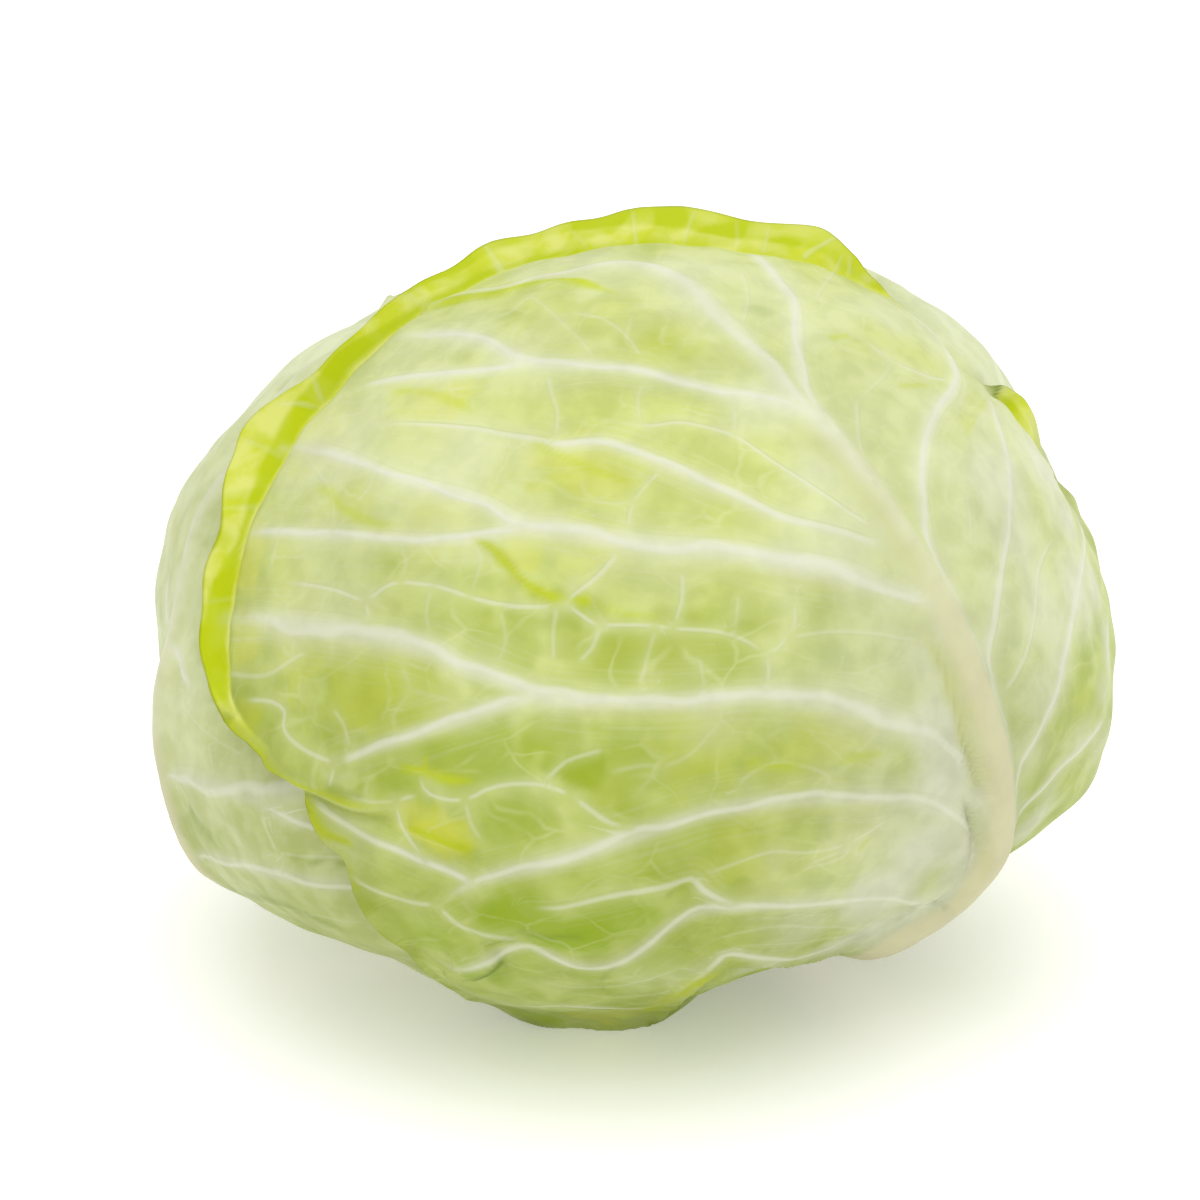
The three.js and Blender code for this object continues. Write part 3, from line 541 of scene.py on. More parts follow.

# Front leaf: narrow marks: kind, half width in millimetres, strength and pixels. Streaks are the folds'
# own yellow-green, and a few of them paint shadow; the marks of the other two kinds are painted shade, in
# the creases beside the midrib and ribs, along grooves, under lips and in the deepest folds
FRONT_MARKS = [
    ("streak", 1.1, 1.0, [(466, 536), (490, 547), (510, 567), (527, 584), (556, 598), (575, 597)]),
    ("streak", 0.9, 0.8, [(394, 766), (425, 769), (450, 779), (482, 781)]),
    ("streak", 0.5, 0.7, [(428, 752), (428, 778)]),
    ("streak", 1.2, 1.0, [(405, 824), (425, 832), (450, 844), (478, 853)]),
    ("streak", 1.1, 0.55, [(308, 482), (325, 490), (345, 510), (375, 523), (400, 528)]),
    ("streak", 1.0, 0.6, [(385, 392), (430, 393), (455, 403), (478, 414)]),
    ("streak", 1.1, 0.55, [(525, 443), (545, 449), (575, 462), (610, 476), (640, 486)]),
    # Painted shadow, in the fold colour, under the top end of the midrib
    ("streak", 0.95, 1.0, [(625, 298), (600, 288), (560, 283), (530, 287), (500, 292), (450, 304),
                           (400, 322)]),
    ("streak", 0.8, 0.5, [(600, 607), (630, 615), (660, 618)]),
    ("streak", 0.9, 0.9, [(572, 601), (592, 600)]),
    ("streak", 0.9, 0.7, [(740, 767), (765, 765), (800, 767), (815, 768)]),
    ("streak", 0.8, 0.5, [(835, 762), (860, 755), (885, 752)]),
    ("streak", 0.7, 0.9, [(200, 660), (214, 692), (234, 722), (262, 752), (294, 777), (324, 791),
                          (355, 803), (392, 806)]),
    ("dark", 0.9, 0.35, [(224, 706), (232, 716), (238, 722)]),
    ("dark", 0.8, 0.3, [(326, 786), (350, 794), (368, 796)]),
    ("streak", 1.1, 0.9, [(300, 786), (312, 812), (326, 832), (358, 847)]),
    ("streak", 0.8, 0.5, [(346, 862), (352, 876), (362, 892)]),
    ("streak", 0.8, 0.6, [(826, 341), (850, 337)]),
    ("streak", 0.5, 0.5, [(896, 387), (930, 386)]),
    ("streak", 0.8, 0.8, [(862, 846), (868, 846)]),
    ("streak", 0.7, 0.8, [(1000, 380), (1018, 392), (1030, 408), (1028, 424)]),
    ("crease_shade", 1.4, 0.85, [(916, 622), (944, 664), (957, 700), (965, 735), (973, 770), (981, 797)]),
    ("crease_shade", 1.0, 0.35, [(964, 796), (971, 825), (974, 852), (966, 875)]),
    ("crease_shade", 1.8, 0.6, [(780, 415), (820, 449), (850, 480), (876, 515), (900, 555), (925, 598)]),
    ("crease_shade", 0.8, 0.15, [(966, 860), (955, 882), (932, 902), (898, 912), (872, 926), (840, 946)]),
    ("crease_shade", 1.0, 0.6, [(640, 570), (700, 572), (780, 580), (850, 592)]),
    ("crease_shade", 0.9, 0.5, [(560, 715), (640, 716), (700, 718)]),
    ("crease_shade", 0.9, 0.5, [(720, 825), (800, 812), (900, 808)]),
    ("dark", 0.8, 1.0, [(443, 971), (458, 977), (475, 977), (490, 970), (500, 963), (504, 952)]),
    ("dark", 1.0, 0.45, [(478, 944), (500, 941), (522, 938)]),
    ("dark", 0.9, 0.4, [(512, 928), (545, 935), (590, 938)]),
    ("dark", 0.9, 0.9, [(976, 376), (984, 382), (994, 392), (1006, 408)]),
    # Painted shade, in the fold colour, along the crease beside the slit
    ("streak", 0.6, 0.4, [(986, 398), (976, 412), (966, 428), (962, 440)]),
    ("dark", 0.5, 0.35, [(664, 902), (675, 890), (690, 884)]),
    ("dark", 3.6, 0.2, [(960, 915), (935, 930), (905, 942), (870, 950)]),
    ("dark", 0.5, 0.3, [(620, 960), (600, 985), (618, 1000)]),
    ("dark", 0.4, 0.35, [(296, 782), (306, 802), (314, 816)]),
    ("dark", 0.4, 0.3, [(262, 768), (300, 790), (340, 812), (380, 818)]),
    ("dark", 0.5, 0.3, [(800, 962), (740, 960), (716, 970)]),
    # Leaf underneath, where it shows below this leaf's lower edge: partly its own green, partly painted
    # shade, with painted shadow along the edge
    ("streak", 2.2, 1.0, [(640, 1014), (658, 1004), (676, 992), (694, 979), (714, 968), (742, 960)]),
    ("dark", 1.0, 0.12, [(646, 1020), (668, 1007), (688, 994), (706, 981), (726, 972), (748, 966)]),
]

# Left leaf: ribs that show past the front leaf, in the same form, and its marks, which are painted shade
# in its creases and folds and under its lips
LEFT_RIBS = [
    [(340, 790, 26), (300, 793, 28), (270, 795, 30), (240, 792, 30), (210, 785, 28), (185, 778, 26),
     (168, 768, 20), (158, 756, 14), (152, 735, 8)],
    [(372, 902, 20), (340, 889, 22), (300, 878, 22), (270, 873, 22), (230, 862, 20), (193, 848, 17),
     (176, 832, 12), (166, 812, 8)],
    [(340, 846, 12), (330, 842, 14), (300, 828, 16), (270, 811, 16), (238, 797, 14)],
    [(160, 580, 14), (166, 612, 18), (176, 650, 20), (192, 690, 16)],
]
LEFT_VEINS = [
    (9, 0.7, [(285, 872), (276, 856), (266, 834), (256, 812), (246, 800)]),
    (4, 0.9, [(276, 854), (300, 858), (345, 864)]),
    (6, 0.6, [(258, 752), (262, 790)]),
    (5, 0.5, [(205, 745), (212, 782)]),
    (5, 0.5, [(215, 880), (260, 903), (320, 915), (372, 930)]),
    (5, 0.5, [(180, 700), (205, 735), (240, 760)]),
]
LEFT_MARKS = [
    ("dark", 0.5, 0.45, [(285, 858), (320, 865), (352, 868)]),
    ("dark", 1.2, 0.35, [(182, 800), (195, 825), (215, 845)]),
    ("dark", 1.4, 0.4, [(200, 866), (230, 885), (262, 900), (310, 915), (372, 940)]),
    ("crease_shade", 1.8, 0.5, [(222, 462), (205, 480), (190, 510), (180, 545), (174, 580)]),
]

# Front leaf: soft patches, by pixel, radius in millimetres, and how pale, yellow and deep green
FRONT_PATCHES = [
    (480, 268, 12, 0.45, 0, 0), (570, 258, 10, 0.4, 0, 0), (700, 300, 12, 0.35, 0, 0),
    (820, 330, 14, 0.3, 0, 0), (450, 465, 13, 0.4, 0, 0), (400, 355, 12, 0.35, 0, 0),
    (520, 356, 12, 0.3, 0, 0), (340, 570, 14, 0.3, 0, 0), (880, 420, 13, 0.25, 0, 0),
    (965, 470, 11, 0.5, 0, 0), (925, 850, 14, 1, 0, 0), (945, 790, 13, 1, 0, 0),
    (890, 890, 13, 1, 0, 0), (950, 730, 12, 0.95, 0, 0), (930, 660, 11, 0.7, 0, 0),
    (780, 885, 9, 0.25, 0.2, 0), (860, 600, 9, 0.2, 0, 0), (1040, 600, 9, 0.4, 0, 0),
    (1030, 750, 8, 0.5, 0, 0), (800, 930, 9, 0.6, 0.1, 0), (290, 632, 9, 0.2, 0.2, 0),
    (660, 560, 9, 0.2, 0, 0), (340, 840, 7, 0.3, 0, 0), (720, 725, 6, 0.3, 0.2, 0),
    (440, 403, 7, 0, 0.8, 0), (410, 400, 6, 0, 0.5, 0), (575, 460, 8, 0, 0.7, 0),
    (605, 478, 7, 0, 0.5, 0), (580, 548, 7, 0.1, 0.5, 0), (430, 520, 7, 0.1, 0.6, 0),
    (345, 500, 7, 0, 0.5, 0.2), (320, 440, 9, 0, 0.7, 0), (245, 560, 7, 0, 0.8, 0),
    (245, 640, 6, 0, 0.8, 0.3), (300, 650, 9, 0, 0.6, 0.4), (370, 690, 11, 0, 0.5, 0.6),
    (430, 830, 6, 0, 1, 0.1), (450, 842, 5, 0, 1, 0.2), (410, 815, 4, 0, 0.9, 0),
    (560, 330, 9, 0, 0.3, 0.2), (655, 335, 9, 0, 0.4, 0.3), (610, 320, 8, 0, 0.3, 0),
    (620, 470, 10, 0, 0.3, 0), (720, 490, 13, 0, 0.2, 0.2), (820, 740, 8, 0, 0.6, 0.3),
    (700, 745, 9, 0, 0.5, 0.5), (850, 845, 6, 0, 0.6, 0.2), (790, 600, 12, 0, 0.1, 0.1),
    (740, 850, 9, 0, 0.4, 0.1), (300, 590, 5, 0, 0.4, 0), (525, 550, 5, 0, 0.6, 0),
    (760, 870, 5, 0, 0.5, 0), (680, 655, 9, 0, 0.3, 0.75), (620, 655, 8, 0, 0.2, 0.6),
    (735, 655, 7, 0, 0.2, 0.7), (575, 625, 7, 0, 0.2, 0.5), (545, 735, 6, 0, 0.2, 0.8),
    (580, 775, 5, 0, 0.2, 1), (560, 755, 6, 0, 0, 0.7), (640, 750, 10, 0, 0.1, 0.6),
    (500, 655, 9, 0, 0.1, 0.5), (420, 700, 9, 0, 0.4, 0.5), (520, 820, 9, 0, 0, 0.5),
    (600, 790, 9, 0, 0.2, 0.5), (690, 850, 12, 0, 0.1, 0.4), (540, 925, 8, 0, 0, 1),
    (580, 935, 8, 0, 0, 1), (500, 920, 6, 0, 0, 1), (620, 920, 8, 0, 0, 0.7), (480, 965, 6, 0, 0, 0.8),
    (545, 1018, 4, 0, 0.1, 0.8), (605, 1014, 9, 0, 0.7, 0.2), (660, 960, 7, 0, 0.2, 0.7),
    (690, 1000, 4, 0, 0.1, 1), (722, 984, 3.5, 0, 0.1, 1), (670, 1016, 4, 0, 0.1, 1),
    (320, 825, 5, 0, 0.4, 1), (335, 845, 4, 0, 0.4, 0.8), (740, 680, 8, 0, 0, 0.2),
    (1085, 708, 6, 0, 0.3, 0.4), (1090, 650, 7, 0, 0, 0.4), (1074, 772, 5, 0, 0.2, 0.3),
    (1024, 742, 7, 0.5, 0, 0), (1050, 790, 6, 0.4, 0, 0), (1030, 826, 7, 0.8, 0, 0),
    (762, 312, 3, 0, 0, 0.6), (250, 715, 4, 0, 0.6, 0.7), (830, 690, 9, 0, 0, 0.3),
    (800, 765, 8, 0, 0.3, 0.3), (430, 935, 7, 0, 0, 0.5), (560, 610, 5, 0, 0.2, 0.8),
    (460, 600, 9, 0, 0, 0.2), (900, 560, 6, 0.15, 0, 0), (540, 870, 9, 0, 0.1, 0.3),
    (1000, 480, 16, 0.75, 0, 0), (1020, 540, 14, 0.7, 0, 0), (1045, 610, 13, 0.7, 0, 0),
    (1078, 590, 11, 0.8, 0, 0), (1005, 630, 9, 0.5, 0, 0), (1060, 660, 8, 0.6, 0, 0),
    (1030, 700, 8, 0.4, 0, 0), (1080, 740, 7, 0.4, 0, 0), (935, 335, 12, 0.45, 0, 0),
    (880, 315, 12, 0.4, 0, 0), (1040, 470, 14, 0.8, 0, 0), (1065, 520, 7, 0.8, 0, 0),
    (970, 760, 6, 0.7, 0, 0), (850, 905, 9, 0.4, 0, 0), (760, 965, 6, 0.7, 0, 0),
    (1095, 590, 6, 0.8, 0, 0), (1108, 640, 5, 0.8, 0, 0), (1104, 690, 4, 0.5, 0, 0),
    (1098, 745, 5, 0.5, 0, 0), (955, 850, 7, 1, 0, 0), (840, 950, 6, 0.6, 0, 0),
    (820, 470, 7, 0.5, 0, 0), (760, 400, 8, 0.5, 0, 0), (850, 560, 14, 0.5, 0, 0),
    (890, 320, 9, 0.5, 0, 0), (1040, 450, 9, 0.5, 0, 0), (1010, 390, 6, 0.5, 0, 0),
    (420, 760, 11, 0, 0.1, 0.6), (480, 750, 11, 0, 0, 0.6), (400, 700, 10, 0, 0.2, 0.5),
    (450, 790, 7, 0, 0.1, 0.6), (890, 430, 26, 0.35, 0, 0), (1010, 420, 20, 0.35, 0, 0),
    (1000, 620, 24, 0.5, 0, 0), (890, 660, 22, 0.45, 0, 0), (860, 760, 15, 0.3, 0, 0),
    (900, 830, 20, 0.6, 0, 0), (820, 900, 12, 0.4, 0, 0), (780, 300, 18, 0.3, 0, 0),
    (670, 975, 9, 0.35, 0, 0), (870, 932, 10, 1, 0, 0), (905, 916, 16, 1, 0, 0),
    (940, 895, 14, 1, 0, 0), (964, 855, 12, 1, 0, 0), (968, 805, 9, 0.9, 0, 0), (845, 943, 8, 1, 0, 0),
    (978, 520, 14, 0.5, 0, 0), (1040, 690, 9, 0.6, 0, 0), (700, 990, 6, 0.3, 0, 0),
    (560, 985, 8, 0.1, 0, 0), (340, 440, 18, 0.45, 0, 0), (700, 270, 12, 0.4, 0, 0),
    (420, 380, 14, 0.3, 0, 0), (450, 340, 12, 0.3, 0, 0), (420, 480, 18, 0.3, 0, 0),
    (600, 270, 12, 0.35, 0, 0), (330, 530, 12, 0.3, 0, 0),
]

# Front leaf, by turn: its outline in degrees away from the view's middle
FRONT_OUTLINE = [
    (0, 92), (11, 91), (17, 88), (21, 83), (26, 75), (30, 72.5), (32.5, 72), (35, 67.5), (37, 65.5),
    (41, 64), (47, 66.8), (53, 68.6), (56, 70.8), (60, 73), (68, 75), (80, 75.5), (95, 75.5),
    (108, 75.2), (120, 69.6), (125, 65.3), (131, 61.8), (137, 59.6), (141, 60), (146, 63),
    (149.5, 64.3), (152, 63.9), (155, 62.1), (158, 59.8), (164, 56.9), (170, 57.1), (177, 56.8),
    (182, 55.9), (185, 54.7), (189, 52.6), (191.5, 51.4), (194, 49), (198, 46.4), (202, 43),
    (206, 43.2), (210, 43.6), (217, 43), (223, 45.5), (228, 48), (235, 50), (242, 62), (250, 76),
    (262, 82), (275, 83), (286, 90), (298, 100), (308, 98), (318, 93), (332, 92), (346, 96),
]

# The same: height of its standing margin
FRONT_BRIM = [
    (0, 0.3), (20, 1), (28, 2.4), (33, 3), (38, 1), (47, 1), (55, 1.8), (62, 3.6), (70, 4.6), (80, 5),
    (100, 4.6), (120, 4.4), (140, 4.4), (160, 4.4), (172, 3.8), (180, 3), (188, 1.8), (195, 1.2),
    (203, 0.7), (225, 1.2), (245, 0.8), (270, 1), (300, 0), (340, 0.3),
]

# The same: shares of the margin's width, next to the crease and next to the edge, that are vivid
FRONT_STRIPS = [
    (26, 0.45, 0), (34, 0.45, 0), (50, 0.3, 0.6), (56, 0.2, 0.75), (62, 0.1, 0.65), (70, 0.05, 0.65),
    (80, 0.05, 0.65), (88, 0.1, 0.5), (100, 0.14, 0.25), (107, 0.2, 0.25), (113, 0.3, 0.3),
    (120, 0.36, 0.15), (127, 0.5, 0.1), (133, 0.85, 0.05), (140, 0.85, 0.02), (146, 0.5, 0),
    (152, 0.32, 0), (158, 0.3, 0), (163, 0.34, 0), (169, 0.5, 0), (174, 0.85, 0), (181, 0.95, 0.1),
    (186, 0.8, 0.2), (192, 0.3, 0.1), (200, 0.15, 0.1), (215, 0.1, 0.1),
]

# The same: place of the crease that the margin rises from, and how yellow the margin is there
FRONT_CREASE = [
    (0, 90, 0), (17, 86, 0), (21, 80, 0), (28, 69.3, 0.5), (33, 68.5, 1), (35.5, 66, 0.1), (39, 66, 0),
    (47, 67, 0), (52, 68, 0.7), (55, 69.4, 1), (58, 70.8, 1), (60, 71, 1), (64, 69.8, 1),
    (68, 68.8, 1), (73, 69.4, 1), (76, 70, 1), (81, 69.6, 1), (86, 69, 1), (92, 68.8, 1),
    (98, 69.8, 1), (103, 70.8, 1), (108.5, 70.8, 1), (112.5, 69.8, 1), (117.6, 67.4, 1),
    (122.4, 65.2, 1), (126, 63, 1), (129.6, 61, 1), (136, 58.6, 1), (140.6, 57.6, 1), (146.6, 57.6, 1),
    (152, 56.8, 1), (159, 55.7, 1), (164, 55.2, 1), (169, 54.5, 1), (175, 53.9, 1), (181, 53.6, 1),
    (186, 52.6, 1), (190, 50.4, 0.7), (196, 46.2, 0.35), (203, 41.8, 0.25), (210, 42, 0.1),
    (225, 44.5, 0), (235, 49, 0), (245, 64, 0), (262, 80, 0), (300, 96, 0), (340, 91, 0),
]

# Standing margin: power by which it rises, height of its waves and the least margin that has them, the
# groove along its crease, and the softness of its vivid strips and the least share that counts as one
MARGIN_POWER = 1.2
MARGIN_WAVE, WAVED_BRIM = 0.3, 1.5
CREASE_DEPTH, CREASE_WIDTH = 1.0, 1.1
STRIP_SOFTNESS = 0.09
LEAST_STRIP = 0.02

# Soft waves of the blade: height of the slow and of the quick ones, and the hollow by the ribs
SLOW_PUFF = 0.5
QUICK_PUFF = 0.22
HALO_HOLLOW = 0.5

# Outline in degrees, margin, crease and yellow of the leaves further in, about their own middles
LEAF_OUTLINE = [
    (-90, 96), (-80, 82), (-68, 70), (-48, 70), (-25, 74), (0, 78), (25, 80), (48, 83), (68, 81),
    (90, 84), (110, 82), (132, 84), (155, 80), (180, 77), (205, 73), (228, 69), (248, 70), (260, 82),
]
LEAF_BRIM = 2.4
LEAF_BRIM_WIDTH = 8.0
LEAF_YELLOW = 0.45
BRIM_WAVE, BRIM_WAVES = 1.5, 11

# Waves of that outline: height in degrees, number round the leaf, and how much of the leaf's turn is
# in their phase. They stay clear of the stem's side
OUTLINE_WAVES = ((1.7, 7, 1.0), (0.5, 23, 2.0), (0.35, 41, 1.0))
WAVES_START, WAVES_FULL = -60.0, -30.0

# Ribs of the leaves further in, in degrees on their own maps: where each pair of side ribs leaves the
# midrib, how far it climbs and spans, the chance in these, its slow wave, its fork, and the small
# veins that link it with the one below
MIDRIB_START = -92.0
MIDRIB_END = 76.0
SIDE_RIB_STARTS = (-72, -58, -42, -26, -9, 9, 27, 44)
SIDE_RIB_CLIMB = (22, 27, 31, 33, 33, 30, 26, 20)
SIDE_RIB_SPAN = 64.0
SIDE_RIB_STAGGER = 4.0
SIDE_RIB_JITTER = 2.5
SIDE_RIB_LENGTHS = (0.9, 1.05)
SIDE_RIB_DROOP = 0.25
SIDE_RIB_WAVE, SIDE_RIB_WAVES = 1.6, 7.0
FORK_PLACES = (0.45, 0.7)
FORK_RISES = (9.0, 14.0)
LINKS, LINK_PLACES, LINK_SHIFT, LINK_BEND = 2, (0.15, 0.9), 0.05, 2.0

# The leaves, from the outermost inwards. Those further in have a turn about the stem, the angle from
# the stem to their middle, a bend and a sway of the midrib, and a share of the usual width, and the
# grid gives the cells across their outer and their under face. Below: how many of them are outer leaves,
# the seed of the first one's ribs, and the points of an edge that another leaf is measured against
LEAVES = [
    {"name": "front_leaf", "slot": "outer_leaf", "front": True, "grid": (285, 95), "laps": FRONT_LAPS,
     "grooves": FRONT_GROOVES, "marks": FRONT_MARKS, "patches": FRONT_PATCHES},
    {"name": "left_leaf", "slot": "side_leaf", "turn": -84, "climb": 94, "bend": 0, "sway": -10,
     "wide": 1.0, "grid": (210, 70), "ribs": LEFT_RIBS, "fine": LEFT_VEINS, "marks": LEFT_MARKS},
    {"name": "right_back_leaf", "slot": "side_leaf", "turn": 150, "climb": 96, "bend": 5, "wide": 1.03,
     "grid": (210, 70)},
    {"name": "under_leaf", "slot": "under_leaf", "turn": -8, "climb": 90, "bend": 4, "wide": 0.98,
     "grid": (120, 60)},
    {"name": "left_back_leaf", "slot": "side_leaf", "turn": -150, "climb": 97, "bend": -5, "wide": 1.02,
     "grid": (120, 60)},
    {"name": "right_under_leaf", "slot": "under_leaf", "turn": 76, "climb": 95, "bend": 5, "wide": 1.0,
     "grid": (120, 60)},
]
OUTERMOST = 2
FIRST_SEED = 40
RIM_POINTS = 480


def vein(directions, wide, high, pale, core=False):
    """A rib or vein along a path on the head's surface. Half width and height in millimetres are given
    at the path's corners, or at its two ends, and read at each of its points by the share of the way."""
    corners = on_head(unit(directions))
    path = smooth_path(corners)
    share, at = (shares_along(points) for points in (path, corners))
    wide, high = (np.interp(share, at if len(v) == len(at) else (0.0, 1.0), v) for v in (wide, high))
    return {"path": path, "share": share, "wide": wide, "high": high, "pale": pale, "core": core}


def seen_rib(rows):
    """A rib from its pixels and their widths. Its height grows with its width."""
    rows = np.array(rows, float)
    wide = 0.5 * rows[:, 2] / PIXELS_PER_MM
    return vein(seen(rows[:, :2]), wide, RISE * wide ** RISE_POWER, 1.0)


def seen_vein(width, pale, pixels):
    """A fine vein from its one width, which narrows a little, and its pixels."""
    wide = VEIN_SHARE * width / PIXELS_PER_MM
    high = [share * wide for share in VEIN_HEIGHTS]
    return vein(seen(pixels), (wide, VEIN_NARROWING * wide), high, pale)


def ranked_vein(leaf, x, y, rank, core=False):
    """A rib of a leaf further in, from its place on the leaf's map and its rank."""
    return vein(on_map(leaf, x, y), rank["wide"], rank["high"], rank["pale"], core)


def front_veins(leaf):
    """The front leaf's midrib, which starts at the stem, its ribs and fine veins through their own
    pixels, and the veins that run out over its margin."""
    rows = np.array(FRONT_MIDRIB, float)
    places = seen(rows[:, :2])
    roots = [unit(STEM_DIRECTION + share * (places[0] - STEM_DIRECTION)) for share in MIDRIB_ROOTS]
    wide = np.concatenate([[MIDRIB_ROOT_WIDTH] * len(roots), 0.5 * rows[:, 2] / PIXELS_PER_MM])
    high = np.interp(wide, MIDRIB_WIDTHS, MIDRIB_HEIGHTS)
    veins = [vein(np.vstack([roots, places]), wide, high, FRONT_MIDRIB_PALE, core=True)]
    veins += [seen_rib(rows) for rows in FRONT_RIBS]
    veins += [seen_vein(*row) for row in FRONT_VEINS]
    for turn, slant, width, pale in MARGIN_VEINS:
        away = np.linspace(leaf["crease"](turn) + 0.4, leaf["reach"](turn), 4)
        turns = turn + slant * np.linspace(-0.5, 0.5, 4)
        wide = 0.5 * width / PIXELS_PER_MM
        ends = (wide, MARGIN_VEIN_NARROWING * wide)
        veins.append(vein(seen_from_front(turns, away), ends, MARGIN_VEIN_HEIGHTS, pale))
    return veins


def on_map(leaf, x, y):
    """Directions of points on a leaf's own flat map, in degrees to its right and towards its tip."""
    return aim(leaf["middle"], leaf["right"], leaf["up"], np.degrees(np.arctan2(y, x)), np.hypot(x, y))


def plain_veins(leaf, seed):
    """Ribs of a leaf further in: a gently bent midrib, side ribs that leave it in pairs, climb as the
    square root of their length and fork, and small veins that link one side rib to the next."""
    draw = np.random.default_rng(seed)
    y = np.linspace(MIDRIB_START, MIDRIB_END, 12)
    share = (y - MIDRIB_START) / (MIDRIB_END - MIDRIB_START)
    bend = leaf["bend"] * np.sin(math.pi * share) + leaf.get("sway", 0.0) * np.sin(2.0 * math.pi * share)
    veins = [ranked_vein(leaf, bend, y, MIDRIB, core=True)]
    u, v = np.linspace(0.0, 1.0, 7), np.linspace(0.0, 1.0, 5)
    for side in (-1.0, 1.0):
        before = None
        for start, climb in zip(SIDE_RIB_STARTS, SIDE_RIB_CLIMB):
            root = start + SIDE_RIB_STAGGER * side + draw.uniform(-SIDE_RIB_JITTER, SIDE_RIB_JITTER)
            reach = SIDE_RIB_SPAN * leaf["wide"] * draw.uniform(*SIDE_RIB_LENGTHS)
            x = np.interp(root, y, bend) + side * reach * u
            rise = root + climb * np.sqrt(u) * (1.0 - SIDE_RIB_DROOP * u)
            rise = rise + SIDE_RIB_WAVE * np.sin(u * SIDE_RIB_WAVES + draw.uniform(0, 6))
            veins.append(ranked_vein(leaf, x, rise, MAJOR))
            fork = draw.uniform(*FORK_PLACES)
            fork_x = np.interp(fork, u, x) + side * (1.0 - fork) * reach * v
            fork_y = np.interp(fork, u, rise) + draw.uniform(*FORK_RISES) * v
            veins.append(ranked_vein(leaf, fork_x, fork_y, MEDIUM))
            if before is not None:
                for at in draw.uniform(*LINK_PLACES, LINKS):
                    low = np.array([np.interp(at, u, part) for part in before])
                    high = np.array([np.interp(at + LINK_SHIFT, u, part) for part in (x, rise)])
                    middle = 0.5 * (low + high) + (draw.uniform(-LINK_BEND, LINK_BEND), 0.0)
                    link = np.stack([low, middle, high])
                    veins.append(ranked_vein(leaf, link[:, 0], link[:, 1], MINOR))
            before = (x, rise)
    return veins


def set_front(leaf):
    """Gives the front leaf its directions, outline, margin and ribs, as seen in the view."""
    leaf.update(middle=TO_EYE, right=VIEW_RIGHT, up=VIEW_UP)
    leaf["reach"], leaf["brim"] = round_table(FRONT_OUTLINE), round_table(FRONT_BRIM)
    leaf["crease"], leaf["yellow"] = round_table(FRONT_CREASE), round_table(FRONT_CREASE, 2)
    leaf["strips"] = round_table(FRONT_STRIPS), round_table(FRONT_STRIPS, 2)
    leaf["veins"] = front_veins(leaf)


def set_plain(leaf):
    """The same for a leaf further in. Ribs read from the view take the place of those on its front."""
    climb = math.radians(leaf["climb"])
    side = about_stem(math.radians(leaf["turn"]))
    leaf["middle"] = -math.cos(climb) * GROW_AXIS + math.sin(climb) * side
    leaf["up"] = math.sin(climb) * GROW_AXIS + math.cos(climb) * side
    leaf["right"] = np.cross(leaf["up"], leaf["middle"])
    leaf["reach"], leaf["brim"], leaf["crease"] = plain_margin(leaf)
    leaf["yellow"], leaf["strips"] = faint, (np.zeros_like, np.zeros_like)
    leaf["veins"] = plain_veins(leaf, FIRST_SEED + leaf["order"])
    if "ribs" in leaf:
        leaf["veins"] = [item for item in leaf["veins"] if not fronts(item)]
        leaf["veins"] += [seen_rib(rows) for rows in leaf["ribs"]]
        leaf["veins"] += [seen_vein(*row) for row in leaf["fine"]]


def prepared_leaves():
    """The leaves with their order, directions, outline, margin and ribs, which are worked out once."""
    if "rim" not in LEAVES[-1]:
        turns = np.linspace(0.0, 360.0, RIM_POINTS, endpoint=False)
        for order, leaf in enumerate(LEAVES):
            leaf["order"] = order
            (set_front if leaf.get("front") else set_plain)(leaf)
            leaf["rim"] = aim(leaf["middle"], leaf["right"], leaf["up"], turns, leaf["reach"](turns))
    return LEAVES


def fronts(item):
    """Whether a side rib runs over the part of a leaf that faces the front view."""
    return not item["core"] and np.mean(item["path"] @ TO_EYE > 0.0) > 0.3


def faint(turn):
    """How yellow the margin of a leaf further in is."""
    return np.full_like(turn, LEAF_YELLOW)


def plain_margin(leaf):
    """Outline, margin height and crease of a leaf further in: the shared table with sine waves."""
    shape = round_table(LEAF_OUTLINE)
    phase = math.radians(leaf["turn"])

    def reach(turn):
        t = np.radians(turn)
        wide = shape(turn) * (1.0 + (leaf["wide"] - 1.0) * np.abs(np.cos(t)))
        free = smooth((np.asarray(turn, float) + 90.0) % 360.0 - 90.0, WAVES_START, WAVES_FULL)
        waves = sum(high * np.sin(count * t + part * phase) for high, count, part in OUTLINE_WAVES)
        return wide + free * waves

    def brim(turn):
        return LEAF_BRIM + BRIM_WAVE * np.sin(BRIM_WAVES * np.radians(turn) + phase)

    def crease(turn):
        return reach(turn) - LEAF_BRIM_WIDTH

    return reach, brim, crease


def cover(leaf, d):
    """How fully a leaf covers directions: 1 inside its outline, fading to 0 a little way outside."""
    turn = np.degrees(np.arctan2(d @ leaf["up"], d @ leaf["right"]))
    outside = np.zeros(len(d))
    out = np.flatnonzero(degrees_apart(d @ leaf["middle"]) > leaf["reach"](turn))
    for low in range(0, len(out), EDGE_BATCH):
        part = out[low:low + EDGE_BATCH]
        outside[part] = degrees_apart((d[part] @ leaf["rim"].T).max(1))
    return 1.0 - smooth(outside, RECESS_REACH, RECESS_REACH + RECESS_FADE)


def layers_over(count, d):
    """Depth below the leaves further out, and how bare of them each direction is."""
    depth, bare = np.zeros(len(d)), np.ones(len(d))
    for leaf in LEAVES[:count]:
        share = cover(leaf, d)
        depth += LAYER * share
        bare *= 1.0 - share
    return depth, bare


